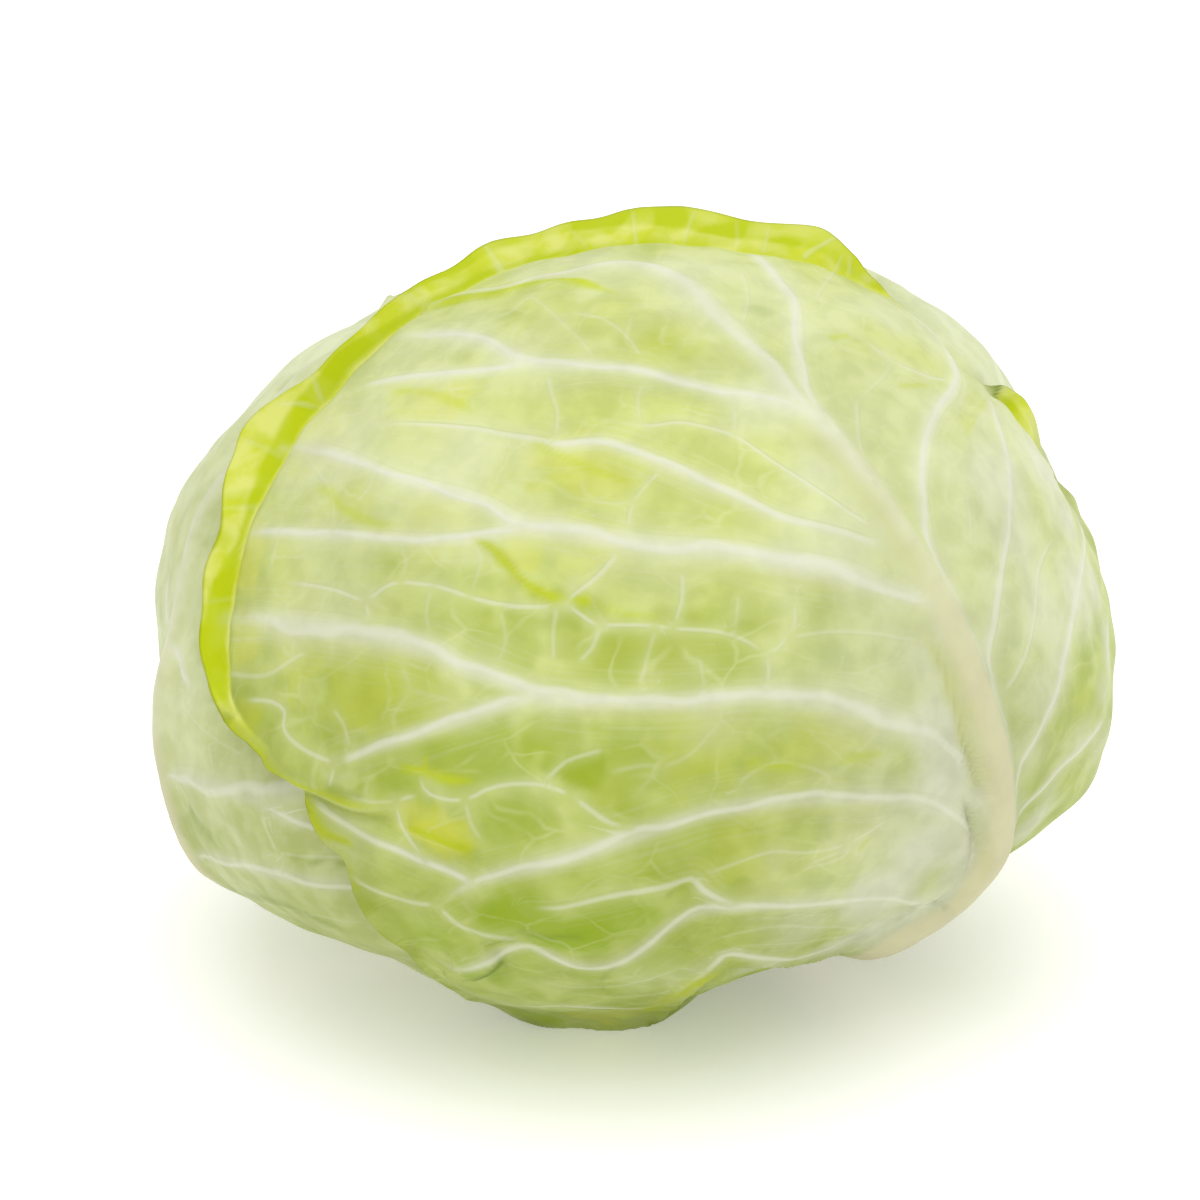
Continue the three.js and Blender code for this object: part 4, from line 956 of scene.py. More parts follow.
def above_floor(radius, d, depth):
    """Radius held back where a surface meets the one that the head rests on. A layer lies higher there
    by its depth under the outermost one."""
    floor = (CENTRE_HEIGHT - depth) / np.maximum(-d[:, 2], LEAST_SLOPE)
    return np.where(d[:, 2] < -LEAST_SLOPE, np.minimum(radius, floor), radius)


class Nearest:
    """Values at each point of whichever vein is nearest, with its gap and the next vein's gap."""

    def __init__(self, count, blank):
        self.gap, self.next = np.full(count, FAR), np.full(count, FAR)
        self.values = np.tile(blank, (count, 1))

    def offer(self, near, gap, *values):
        """Takes the values of one vein at the points where it's nearer than those before it."""
        closer = gap < self.gap[near]
        self.next[near] = np.where(closer, self.gap[near], np.minimum(self.next[near], gap))
        chosen = near[closer]
        self.gap[chosen] = gap[closer]
        self.values[chosen] = np.stack(np.broadcast_arrays(*values), 1)[closer]


def vein_fields(points, outward, veins):
    """Lays the ribs on a blade. The height is the cube root of the sum of each rib's cubed height, so
    that ribs run together smoothly, with a shallow trough beside each. Also gives the pale halo, the
    whitish band over each rib, the cream core of a midrib, the signed offset from the nearest vein with
    how firm its fine line is and its half width, and the place in millimetres across and along the
    nearest strong rib, with how strongly its fibres show there."""
    count = len(points)
    cubes, core, trough, band = (np.zeros(count) for _ in range(4))
    light = np.ones(count)
    line, grain = Nearest(count, [9.0, 0.0, 1.0]), Nearest(count, [0.0, 0.0, 0.0])
    waver = 1.0 + 0.35 * np.clip(ripple(points, *HALO_WAVES), -1.5, 1.5)
    for item in veins:
        most = item["wide"].max()
        halo = min(HALO_LEAST + HALO_GROWTH * most, HALO_MOST)
        sight = HALO_SIGHT * halo + RIB_SIGHT * most
        near, dist, side, share = measure(points, outward, item["path"], sight)
        wide, high = (np.interp(share, item["share"], item[key]) for key in ("wide", "high"))
        tip = 1.0 - smooth(share, RIB_TIP, 1.0)
        high = high * (TIP_HEIGHT + (1.0 - TIP_HEIGHT) * tip)
        across = dist / wide
        foot = dist / (FOOT_SPREAD * wide + FOOT_MARGIN)
        cubes[near] += (high * np.exp(-across ** (MIDRIB_POWER if item["core"] else RIB_POWER))) ** 3
        cubes[near] += (FOOT_HEIGHT * high * np.exp(-foot ** 2)) ** 3
        hollow = TROUGH_DEPTH * high * np.exp(-((across - TROUGH_PLACE) / TROUGH_WIDTH) ** 2)
        trough[near] = np.maximum(trough[near], hollow)
        shown = item["pale"] * (TIP_PALE + (1.0 - TIP_PALE) * tip)
        past = np.maximum(dist - HALO_START * wide, 0.0) / (halo * waver[near])
        light[near] *= 1.0 - HALO_STRENGTH * shown * np.exp(-past ** HALO_POWER)
        over = shown * np.exp(-(across / BAND_SPREAD) ** 2) * smooth(wide, *BAND_WIDTHS)
        band[near] = np.maximum(band[near], over)
        shown_wide = np.maximum(wide, LEAST_LINE)
        firm = item["pale"] * tip * smooth(share, 0.0, LINE_START) * wide / shown_wide
        if item["core"]:
            full = smooth(wide, *FULL_WIDTHS)
            cream = 1.0 - smooth(across, *(place + more * full for place, more in CREAM_FADE))
            core[near] = np.maximum(core[near], cream * smooth(wide, *CREAM_WIDTHS))
            firm = firm * (1.0 - smooth(wide, *LINE_FADES))
        line.offer(near, dist - wide, dist * side, firm, shown_wide)
        if most > FIBRED_RIB:
            along = share * steps_of(item["path"]).sum() + FIBRE_SHIFT * item["path"][0, 0]
            grain.offer(near, dist - wide, dist * side, along, 1.0)
    line.values[:, 1] *= smooth(line.next - line.gap, 0.3, 1.5) * (1.0 - smooth(line.gap, 1.0, 1.8))
    grain.values[:, 2] *= smooth(grain.next - grain.gap, 0.3, 2.5) * (1.0 - smooth(grain.gap, 2.0, 8.0))
    ribs = np.cbrt(cubes) - trough * (cubes < FILLED_CUBES)
    return ribs, 1.0 - light, band, core, line.values, grain.values


def swell(points, outward, laps, grooves):
    """Height of laps and grooves. A lap is an exponential swell on its standing side that ends in a
    sharp drop at the path, with a narrow groove on its low side; a groove is a Gaussian hollow. Both
    fade at the ends of their paths. Also gives the painted shade in the laps' grooves, drawn later in
    the fold colour."""
    height, shade = np.zeros(len(points)), np.zeros(len(points))
    for pixels, lap, reach, green in laps:
        near, dist, side, share = measure(points, outward, seen_path(pixels), 3.0 * reach)
        offset = dist * side * math.copysign(1.0, lap)
        ends = fading_ends(share, 0.15)
        rise = np.exp(-np.maximum(offset, 0.0) / reach) * smooth(offset, -1.4, 0.5)
        hollow = 0.3 * np.exp(-((offset + 1.6) / 1.2) ** 2)
        height[near] += abs(lap) * ends * (rise - hollow)
        # Painted shade in the groove on the lap's low side
        shade[near] = np.maximum(shade[near], green * ends * np.exp(-((offset + 1.2) / 1.1) ** 2))
    for half, depth, pixels in grooves:
        near, dist, _, share = measure(points, outward, seen_path(pixels), 3.0 * half)
        height[near] -= depth * fading_ends(share, 0.2) * np.exp(-(dist / half) ** 2)
    return height, shade


def mark_fields(points, outward, marks):
    """Narrow marks of each kind, from 0 to 1: a Gaussian across the path that fades at its ends."""
    fields = {kind: np.zeros(len(points)) for kind in ("streak", "crease_shade", "dark")}
    fray = 1.0 + 0.3 * ripple(points, *MARK_WAVES)
    for kind, half, strength, pixels in marks:
        near, dist, _, share = measure(points, outward, seen_path(pixels), 3.0 * half)
        mark = strength * fading_ends(share, 0.18) * np.exp(-(dist / (half * fray[near])) ** 2)
        fields[kind][near] = np.maximum(fields[kind][near], mark)
    return fields.values()


def patch_fields(points, rows):
    """Pale, yellow and deep green patches, from 0 to 1: a Gaussian round each place, and for the two
    greens an edge made irregular by waves. Where patches meet, the stronger one counts."""
    patches = np.zeros((3, len(points)))
    if not rows:
        return patches
    rows = np.array(rows, float)
    stretch = 1.0 + 0.22 * ripple(points, *PATCH_WAVES)
    fray = 0.14 * ripple(points, *FRAY_WAVES)
    for place, (radius, *strengths) in zip(on_head(seen(rows[:, :2])), rows[:, 2:]):
        spread = np.exp(-(np.linalg.norm(points - place, axis=1) * stretch / radius) ** 2)
        crisp = smooth(spread + fray, 0.15, 0.8)
        for row, shape, strength in zip(patches, (spread, crisp, crisp), strengths):
            np.maximum(row, shape * strength, out=row)
    return patches


def pairs(first, second):
    """Every pair of a value of the first list and one of the second, as two flat lists."""
    return (part.ravel() for part in np.meshgrid(first, second, indexing="ij"))


def disc_grid(cells):
    """Turn and share of the way out of a square grid bent to a disc by x sqrt(1 - y y / 2) and
    y sqrt(1 - x x / 2), with its rings a little closer towards the rim."""
    line = np.linspace(-1.0, 1.0, cells + 1)
    x, y = pairs(line, line)
    px, py = x * np.sqrt(1.0 - y * y / 2.0), y * np.sqrt(1.0 - x * x / 2.0)
    share = np.minimum(np.hypot(px, py), 1.0)
    return np.degrees(np.arctan2(py, px)), share * (1.0 + 0.1 * (1.0 - share))


def margin_height(leaf, points, past, rise, brim):
    """Height of the standing margin, which rises from the crease by a power of the way out, with waves,
    and depth of the groove along the crease."""
    stand = brim * rise ** MARGIN_POWER
    stand += MARGIN_WAVE * rise * ripple(points, *MARGIN_WAVES, leaf["order"]) * (brim > WAVED_BRIM)
    groove = CREASE_DEPTH * np.exp(-(past / CREASE_WIDTH) ** 2) * smooth(brim, 1.0, 3.0)
    return np.maximum(stand, 0.0), groove


def margin_yellow(leaf, points, turn, past, rise, brim):
    """How yellow the margin is: 0 inside the crease, 1 on the margin, and up to 2 where it's vivid,
    which is in the strips next to the crease and to the edge and in blotches."""
    start = smooth(past, -0.3, 0.5) if leaf.get("front") else rise ** 1.5
    blotch = 0.5 + 0.5 * np.clip(1.2 * ripple(points, *BLOTCH_WAVES), -1.0, 1.0)
    inner, outer = (strip(turn) for strip in leaf["strips"])
    edge = 1.0 - outer
    vivid = 1.0 - smooth(rise, inner - STRIP_SOFTNESS, inner + STRIP_SOFTNESS)
    vivid += smooth(rise, edge - STRIP_SOFTNESS, edge + STRIP_SOFTNESS) * (0.45 + 0.55 * blotch)
    vivid = np.clip(vivid * (0.85 + 0.15 * blotch) + 0.35 * smooth(blotch, 0.5, 0.9), 0.0, 1.0)
    return start * smooth(brim, 0.6, 2.0) * leaf["yellow"](turn) * (1.0 + vivid * (inner > LEAST_STRIP))


def leaf_face(leaf, cells, under):
    """One face of a blade on a grid. Its radius is the head's, less the layers over it, plus ribs,
    laps, soft waves and the standing margin, and it is pressed flat where it meets the surface that
    the head rests on. The under face lies one thickness further in, thinner towards the margin. Also
    gives the fields that colour the blade, by three in an attribute: the place on the leaf's map and
    how pale it is, and then what vein_fields, mark_fields, patch_fields and margin_yellow find."""
    turn, share = disc_grid(cells)
    reach = leaf["reach"](turn)
    away = share * reach
    d = aim(leaf["middle"], leaf["right"], leaf["up"], turn, away)
    depth, bare = layers_over(leaf["order"], d)
    base = head_radius(d)
    points = d * base[:, None]
    ribs, halo, band, core, line, grain = vein_fields(points, d, leaf["veins"])
    laps, shade = swell(points, d, leaf.get("laps", ()), leaf.get("grooves", ()))
    streak, crease_shade, dark = mark_fields(points, d, leaf.get("marks", ()))
    bloom, yellow, deep = patch_fields(points, leaf.get("patches", ()))
    crease, brim = leaf["crease"](turn), leaf["brim"](turn)
    past = away - crease
    rise = np.clip(past / np.maximum(reach - crease, 1.0), 0.0, 1.0)
    stand, groove = margin_height(leaf, points, past, rise, brim)
    puffs = SLOW_PUFF * ripple(points, *SLOW_WAVES, leaf["order"]) - HALO_HOLLOW * halo
    puffs += QUICK_PUFF * ripple(points, *QUICK_WAVES, leaf["order"]) * (1.0 - halo)
    raised = laps + puffs + stand - groove
    relief = bare * (ribs + raised)
    if under:
        thinning = smooth((reach - away) * MM_PER_DEGREE, THINNING_REACH, 0.0)
        relief = bare * (0.5 * ribs + raised)
        depth = depth + BLADE_THICKNESS + (MARGIN_THICKNESS - BLADE_THICKNESS) * thinning
    radius = above_floor(base - depth + relief, d, depth)
    map_x, map_y = away * np.cos(np.radians(turn)), away * np.sin(np.radians(turn))
    margin = margin_yellow(leaf, points, turn, past, rise, brim)
    fields = {
        "leaf_map": np.stack([map_x, map_y, bloom], 1),
        "vein_place": line,
        "tones": np.stack([halo, core * bare, margin], 1),
        # The fold mask also takes the painted shade of the laps' grooves
        "marks": np.stack([np.maximum(streak, 0.8 * shade), yellow, deep], 1),
        # Whitish band over the ribs, then painted shade in the creases and painted shadow in the deepest
        # folds
        "band_and_shade": np.stack([band * bare ** 0.25, crease_shade, dark], 1),
        "grain": grain,
    }
    return CENTRE + d * radius[:, None], fields


def rim_walk(cells):
    """Indices of the points round the edge of a square grid of cells, turning one way."""
    i, row = np.arange(cells), cells + 1
    return np.concatenate([i * row, cells * row + i, (cells - i) * row + cells, cells - i])


def grid_cells(cells):
    """Corner indices of each cell of a square grid, turning the same way."""
    i, j = pairs(np.arange(cells), np.arange(cells))
    row = cells + 1
    a = i * row + j
    return np.stack([a, a + row, a + row + 1, a + 1], 1)


def round_faces(rings, columns):
    """Faces of a closed round made of a first point, rings of points and a last point: cells between
    the rings, and a fan of triangles at each end."""
    i, j = pairs(np.arange(rings - 1), np.arange(columns))
    a, ahead = 1 + i * columns, (j + 1) % columns
    cells = np.stack([a + j, a + columns + j, a + columns + ahead, a + ahead], 1)
    k = np.arange(columns)
    near, last = (k + 1) % columns, 1 + (rings - 1) * columns
    fans = np.concatenate([
        np.stack([np.zeros(columns, int), 1 + k, 1 + near], 1),
        np.stack([np.full(columns, last + columns), last + near, last + k], 1),
    ])
    return cells, fans


def rim_wall(fine, coarse):
    """Triangles that join a fine closed edge to a coarse one: each coarse step takes a fan."""
    ratio = len(fine) // len(coarse)
    steps = fine.reshape(len(coarse), ratio)
    ahead = np.roll(fine, -1).reshape(len(coarse), ratio)
    half = (ratio + 1) // 2
    following = np.roll(coarse, -1)
    fans = []
    for k in range(ratio):
        hub = coarse if k < half else following
        fans.append(np.stack([hub, ahead[:, k], steps[:, k]], 1))
    fans.append(np.stack([coarse, following, ahead[:, half - 1]], 1))
    return np.concatenate(fans)


def mesh_object(name, points, quads, triangles, fields=None):
    """A smooth mesh object from points in millimetres, four-cornered faces and triangles."""
    mesh = bpy.data.meshes.new(name)
    corners = np.concatenate([quads.ravel(), triangles.ravel()]).astype(np.int32)
    sizes = np.concatenate([np.full(len(quads), 4), np.full(len(triangles), 3)])
    starts = np.concatenate([[0], np.cumsum(sizes)[:-1]]).astype(np.int32)
    mesh.vertices.add(len(points))
    mesh.loops.add(len(corners))
    mesh.polygons.add(len(sizes))
    mesh.vertices.foreach_set("co", (points * MM).astype(np.float32).ravel())
    mesh.loops.foreach_set("vertex_index", corners)
    mesh.polygons.foreach_set("loop_start", starts)
    mesh.update(calc_edges=True)
    mesh.validate()
    mesh.polygons.foreach_set("use_smooth", np.ones(len(sizes), bool))
    for key, values in (fields or {}).items():
        layer = mesh.attributes.new(key, "FLOAT_VECTOR", "POINT")
        layer.data.foreach_set("vector", values.astype(np.float32).ravel())
    piece = bpy.data.objects.new(name, mesh)
    bpy.context.scene.collection.objects.link(piece)
    return piece


def build_leaf(leaf):
    """A closed blade: a fine outer face, a coarser under face, and a wall round the margin."""
    fine, coarse = leaf["grid"]
    outer, fields = leaf_face(leaf, fine, under=False)
    inner, inner_fields = leaf_face(leaf, coarse, under=True)
    count = len(outer)
    quads = np.concatenate([grid_cells(fine), grid_cells(coarse)[:, ::-1] + count])
    wall = rim_wall(rim_walk(fine), rim_walk(coarse) + count)
    joined = {key: np.concatenate([fields[key], inner_fields[key]]) for key in fields}
    return mesh_object(leaf["name"] + "_blade", np.concatenate([outer, inner]), quads, wall, joined)


# Half widths in millimetres of a broad and of a thin vein, between which its line changes, and heights
# in metres between which the upper head's colours turn into the lower head's, which are greener and
# darker: partly the leaves' own colour, partly painted shade
BROAD_VEIN, THIN_VEIN = 1.6, 0.7
TOP_HEIGHT, LOW_HEIGHT = 0.15, -0.01


def group_tree(name, inputs, outputs):
    """A shader node group with named sockets of values: its inputs with their defaults, and its
    outputs. Gives the tree and its two end nodes."""
    tree = bpy.data.node_groups.new(name, "ShaderNodeTree")
    for label, default in inputs:
        socket = tree.interface.new_socket(label, in_out="INPUT", socket_type="NodeSocketFloat")
        socket.default_value = default
    for label in outputs:
        tree.interface.new_socket(label, in_out="OUTPUT", socket_type="NodeSocketFloat")
    return tree, tree.nodes.new("NodeGroupInput"), tree.nodes.new("NodeGroupOutput")


def fill_socket(tree, socket, value):
    """Links another node's output to a socket, or sets the socket to a plain value."""
    if isinstance(value, bpy.types.NodeSocket):
        tree.links.new(value, socket)
    else:
        socket.default_value = value


def put(tree, kind, **settings):
    """A node with its properties set, and its inputs set or linked: keys that start with i_ are inputs
    by number or name, given as a value or as another node's output."""
    node = tree.nodes.new(kind)
    inputs = {key[2:]: value for key, value in settings.items() if key.startswith("i_")}
    for key, value in settings.items():
        if not key.startswith("i_"):
            setattr(node, key, value)
    for key, value in inputs.items():
        fill_socket(tree, node.inputs[int(key) if key.isdigit() else key.replace("_", " ")], value)
    return node


def maths(tree, operation, a, b=0.0, clamp=False):
    """Result of one Math node."""
    return put(tree, "ShaderNodeMath", operation=operation, use_clamp=clamp, i_0=a, i_1=b).outputs[0]


def ramp(tree, value, low, high, to_low=0.0, to_high=1.0):
    """Smooth step from one value to another."""
    node = put(tree, "ShaderNodeMapRange", interpolation_type="SMOOTHSTEP", i_0=value, i_1=low, i_2=high,
               i_3=to_low, i_4=to_high)
    return node.outputs[0]


def blend(tree, factor, a, b):
    """Mix of two colours."""
    return put(tree, "ShaderNodeMix", data_type="RGBA", i_0=factor, i_6=a, i_7=b).outputs[2]


def axes(tree, name):
    """The three values of an attribute."""
    source = put(tree, "ShaderNodeAttribute", attribute_name=name)
    return put(tree, "ShaderNodeSeparateXYZ", i_0=source.outputs["Vector"]).outputs


def vein_line_group():
    """Fine line over the nearest vein, firm where the attribute says so, and the thin shadow beside it.
    A broad vein's line is a narrower part of it, which sways, and its shadow is fainter."""
    tree, _, leave = group_tree("vein_line", [], ["Line", "Shadow"])
    offset, firm, half = axes(tree, "vein_place")

    def by_width(broad, fine):
        return ramp(tree, half, BROAD_VEIN, THIN_VEIN, broad, fine)

    place = put(tree, "ShaderNodeTexCoord").outputs["Object"]
    noise = put(tree, "ShaderNodeTexNoise", i_Vector=place, i_Scale=70.0, i_Detail=1.0).outputs["Fac"]
    sway = maths(tree, "MULTIPLY", maths(tree, "SUBTRACT", noise, 0.5), by_width(2.4, 0.3))
    gap = maths(tree, "ADD", maths(tree, "DIVIDE", offset, half), sway)
    gap = maths(tree, "DIVIDE", maths(tree, "ABSOLUTE", gap), by_width(0.55, 1.25))
    line = maths(tree, "MULTIPLY", ramp(tree, gap, 1.0, 0.15), firm)
    line = maths(tree, "MULTIPLY", line, by_width(0.8, 0.6))
    aside = maths(tree, "ABSOLUTE", maths(tree, "SUBTRACT", maths(tree, "ADD", offset, half), 0.1))
    shadow = maths(tree, "MULTIPLY", ramp(tree, aside, 0.35, 0.0), firm)
    shadow = maths(tree, "MULTIPLY", shadow, by_width(0.4, 1.0))
    tree.links.new(line, leave.inputs["Line"])
    tree.links.new(shadow, leave.inputs["Shadow"])
    return tree


def fibres_group():
    """Fine fibres that run along the strong ribs: noise drawn out along them, from 0 to 1."""
    tree, _, leave = group_tree("fibres", [], ["Fibres"])
    across, along, shown = axes(tree, "grain")
    across, along = maths(tree, "MULTIPLY", across, 1.5), maths(tree, "MULTIPLY", along, 0.05)
    place = put(tree, "ShaderNodeCombineXYZ", i_0=across, i_1=along).outputs[0]
    noise = put(tree, "ShaderNodeTexNoise", i_Vector=place, i_Scale=1.0, i_Detail=3.0).outputs["Fac"]
    fibres = maths(tree, "MULTIPLY", ramp(tree, noise, 0.45, 0.68), shown)
    tree.links.new(fibres, leave.inputs["Fibres"])
    return tree


def fine_net_group():
    """Net of fine veins, which fades in and out: edges of cells on the leaf's own map, warped by noise.
    Tone is a chance value for each cell, from -1 to 1, which fades towards the cell's edge."""
    tree, enter, leave = group_tree("fine_net", [("Cell", 0.17), ("Width", 0.05)], ["Net", "Tone"])
    cell = enter.outputs["Cell"]
    place = put(tree, "ShaderNodeAttribute", attribute_name="leaf_map").outputs["Vector"]
    flat = put(tree, "ShaderNodeVectorMath", operation="MULTIPLY", i_0=place, i_1=(0.72, 1.0, 0.0))
    warp = put(tree, "ShaderNodeTexNoise", i_Vector=flat.outputs[0], i_Scale=0.16, i_Detail=2.0)
    bent = put(tree, "ShaderNodeVectorMath", operation="MULTIPLY_ADD", i_0=warp.outputs["Color"],
               i_1=(5.0, 5.0, 0.0), i_2=flat.outputs[0]).outputs[0]
    edges = put(tree, "ShaderNodeTexVoronoi", feature="DISTANCE_TO_EDGE", i_Vector=bent, i_Scale=cell)
    distance = edges.outputs["Distance"]
    lines = ramp(tree, distance, enter.outputs["Width"], 0.0)
    shown = ramp(tree, warp.outputs["Fac"], 0.38, 0.6)
    cells = put(tree, "ShaderNodeTexVoronoi", feature="F1", i_Vector=bent, i_Scale=cell)
    chance = put(tree, "ShaderNodeSeparateXYZ", i_0=cells.outputs["Color"]).outputs[0]
    inside = ramp(tree, distance, 0.0, 0.16, 0.0, 2.0)
    tone = maths(tree, "MULTIPLY", maths(tree, "SUBTRACT", chance, 0.5), inside)
    tree.links.new(maths(tree, "MULTIPLY", lines, shown), leave.inputs["Net"])
    tree.links.new(tone, leave.inputs["Tone"])
    return tree


def leaf_cloud_group():
    """Slow change of colour over the leaf and its fine mottling: two sizes of noise on Object
    coordinates, from 0 to 1."""
    tree, enter, leave = group_tree("leaf_cloud", [("Size", 26.0), ("Mottle Size", 170.0)],
                                    ["Cloud", "Mottle"])
    place = put(tree, "ShaderNodeTexCoord").outputs["Object"]
    for size, label, low, high in (("Size", "Cloud", 0.35, 0.68), ("Mottle Size", "Mottle", 0.33, 0.67)):
        noise = put(tree, "ShaderNodeTexNoise", i_Vector=place, i_Scale=enter.outputs[size], i_Detail=3.0)
        tree.links.new(ramp(tree, noise.outputs["Fac"], low, high), leave.inputs[label])
    return tree


def use(tree, group):
    """Outputs of a group placed in a material."""
    return put(tree, "ShaderNodeGroup", node_tree=group).outputs


def paint(colour):
    """Colour as four values."""
    return (*colour, 1.0)


def new_material(name):
    """A material with its tree and its shader."""
    material = bpy.data.materials.new(name)
    material.use_nodes = True
    return material, material.node_tree, material.node_tree.nodes["Principled BSDF"]


def lower_shade_share(tree, cloud, mottle):
    """How much of the lower head's colours shows, from 0 at the crown to 1 at the floor: the height,
    made uneven by the cloud and the mottling. Those colours are greener and darker, partly the
    leaves' own colour and partly painted shade, as less light reaches the lower head."""
    place = put(tree, "ShaderNodeTexCoord").outputs["Object"]
    height = put(tree, "ShaderNodeSeparateXYZ", i_0=place).outputs[2]
    total = maths(tree, "MULTIPLY", ramp(tree, height, TOP_HEIGHT, LOW_HEIGHT), 0.8)
    total = maths(tree, "ADD", total, maths(tree, "MULTIPLY", cloud, 0.3))
    total = maths(tree, "ADD", total, maths(tree, "MULTIPLY", mottle, 0.22))
    return maths(tree, "SUBTRACT", total, 0.11, clamp=True)


def leaf_material(name, greens, hues, groups, brim=1.0):
    """Fresh leaf: a clouded green, under coats of colour that each show by a mask and an amount: cells,
    deep green patches and bruises, the net, the halo and bloom, fibres, the margin and its vivid part,
    the whitish band, line and shadow of the veins, the cream midrib, and the folds, with painted shade
    in the laps' grooves, the creases and the deepest folds. Most colours turn greener and darker lower
    down: partly the leaves' own colour, partly painted shade."""
    material, tree, shader = new_material(name)
    halo, core, margin = axes(tree, "tones")
    streak, yellow, deep = axes(tree, "marks")
    band, crease_shade, dark = axes(tree, "band_and_shade")
    bloom = axes(tree, "leaf_map")[2]
    cloud, mottle = use(tree, groups["leaf_cloud"])
    net, tone = use(tree, groups["fine_net"])
    fibres = use(tree, groups["fibres"])[0]
    line, shadow = use(tree, groups["vein_line"])
    # How far the lower head's colours show: partly the leaves' own greener colour, partly painted shade
    low = lower_shade_share(tree, cloud, mottle)

    def fading(upper, lower):
        return blend(tree, low, paint(upper), paint(lower))

    pale, white = fading(hues.pale, hues.pale_low), fading(hues.vein, hues.vein_shaded)
    deep_green = paint(greens[2])
    greener = maths(tree, "MULTIPLY", tone, low)
    frayed = maths(tree, "MULTIPLY", halo, ramp(tree, mottle, 0.0, 1.0, 0.7, 1.1), clamp=True)
    vivid = maths(tree, "SUBTRACT", margin, 1.0)
    coats = (
        (greener, 0.5, deep_green),
        (tone, -0.35, pale),
        (deep, 1.0, deep_green),
        (yellow, 0.75, fading(hues.yellow, hues.yellow_low)),
        (net, 0.35, pale),
        (frayed, 0.9, pale),
        (bloom, 1.0, white),
        (fibres, 0.12, white),
        (margin, brim, blend(tree, mottle, paint(hues.brim), paint(hues.brim_pale))),
        (vivid, 1.0, paint(hues.vivid)),
        (band, 0.75, white),
        (line, 0.8, fading(hues.crest, hues.crest_shaded)),
        (shadow, 0.3, paint(hues.shade)),
        (core, 1.0, fading(hues.midrib, hues.midrib_shaded)),
        # Fold colour, whose mask also holds the painted shade in the laps' grooves; then painted shade in
        # the creases beside the ribs and in the deepest folds
        (streak, 0.9, fading(hues.streak, hues.streak_low)),
        (crease_shade, 0.8, paint(hues.crease_shade)),
        (dark, 1.0, paint(hues.dark)),
    )
    colour = fading(greens[0], greens[1])
    for mask, amount, coat in coats:
        colour = blend(tree, maths(tree, "MULTIPLY", mask, amount, clamp=True), colour, coat)
    tree.links.new(colour, shader.inputs["Base Color"])
    tree.links.new(ramp(tree, cloud, 0.0, 1.0, 0.40, 0.52), shader.inputs["Roughness"])
    bump = put(tree, "ShaderNodeBump", i_Height=line, i_Strength=0.3, i_Distance=0.0003)
    tree.links.new(bump.outputs["Normal"], shader.inputs["Normal"])
    shader.inputs["Specular IOR Level"].default_value = 0.15
    return material


def flesh_material(name, pale, dark, scale):
    """Cut or hidden flesh: pale, with a fine grain of noise on Object coordinates."""
    material, tree, shader = new_material(name)
    place = put(tree, "ShaderNodeTexCoord").outputs["Object"]
    grain = put(tree, "ShaderNodeTexNoise", i_Vector=place, i_Scale=scale, i_Detail=6.0).outputs["Fac"]
    tone = ramp(tree, grain, 0.35, 0.7)
    tree.links.new(blend(tree, tone, paint(pale), paint(dark)), shader.inputs["Base Color"])
    bump = put(tree, "ShaderNodeBump", i_Height=grain, i_Strength=0.4, i_Distance=0.0008)
    tree.links.new(bump.outputs["Normal"], shader.inputs["Normal"])
    shader.inputs["Roughness"].default_value = 0.5
    shader.inputs["Subsurface Weight"].default_value = 0.1
    shader.inputs["Subsurface Scale"].default_value = 0.004
    return material


def seen_colour(red, green, blue):
    """Linear colour of a screen colour given from 0 to 255."""
    v = np.array([red, green, blue]) / 255.0
    return tuple(float(x) for x in np.where(v <= 0.04045, v / 12.92, ((v + 0.055) / 1.055) ** 2.4))


def colour_prop(name, text, *rgb):
    """A colour property."""
    return FloatVectorProperty(name=name, description=text, subtype="COLOR", size=3, min=0.0, max=1.0,
                               default=seen_colour(*rgb))


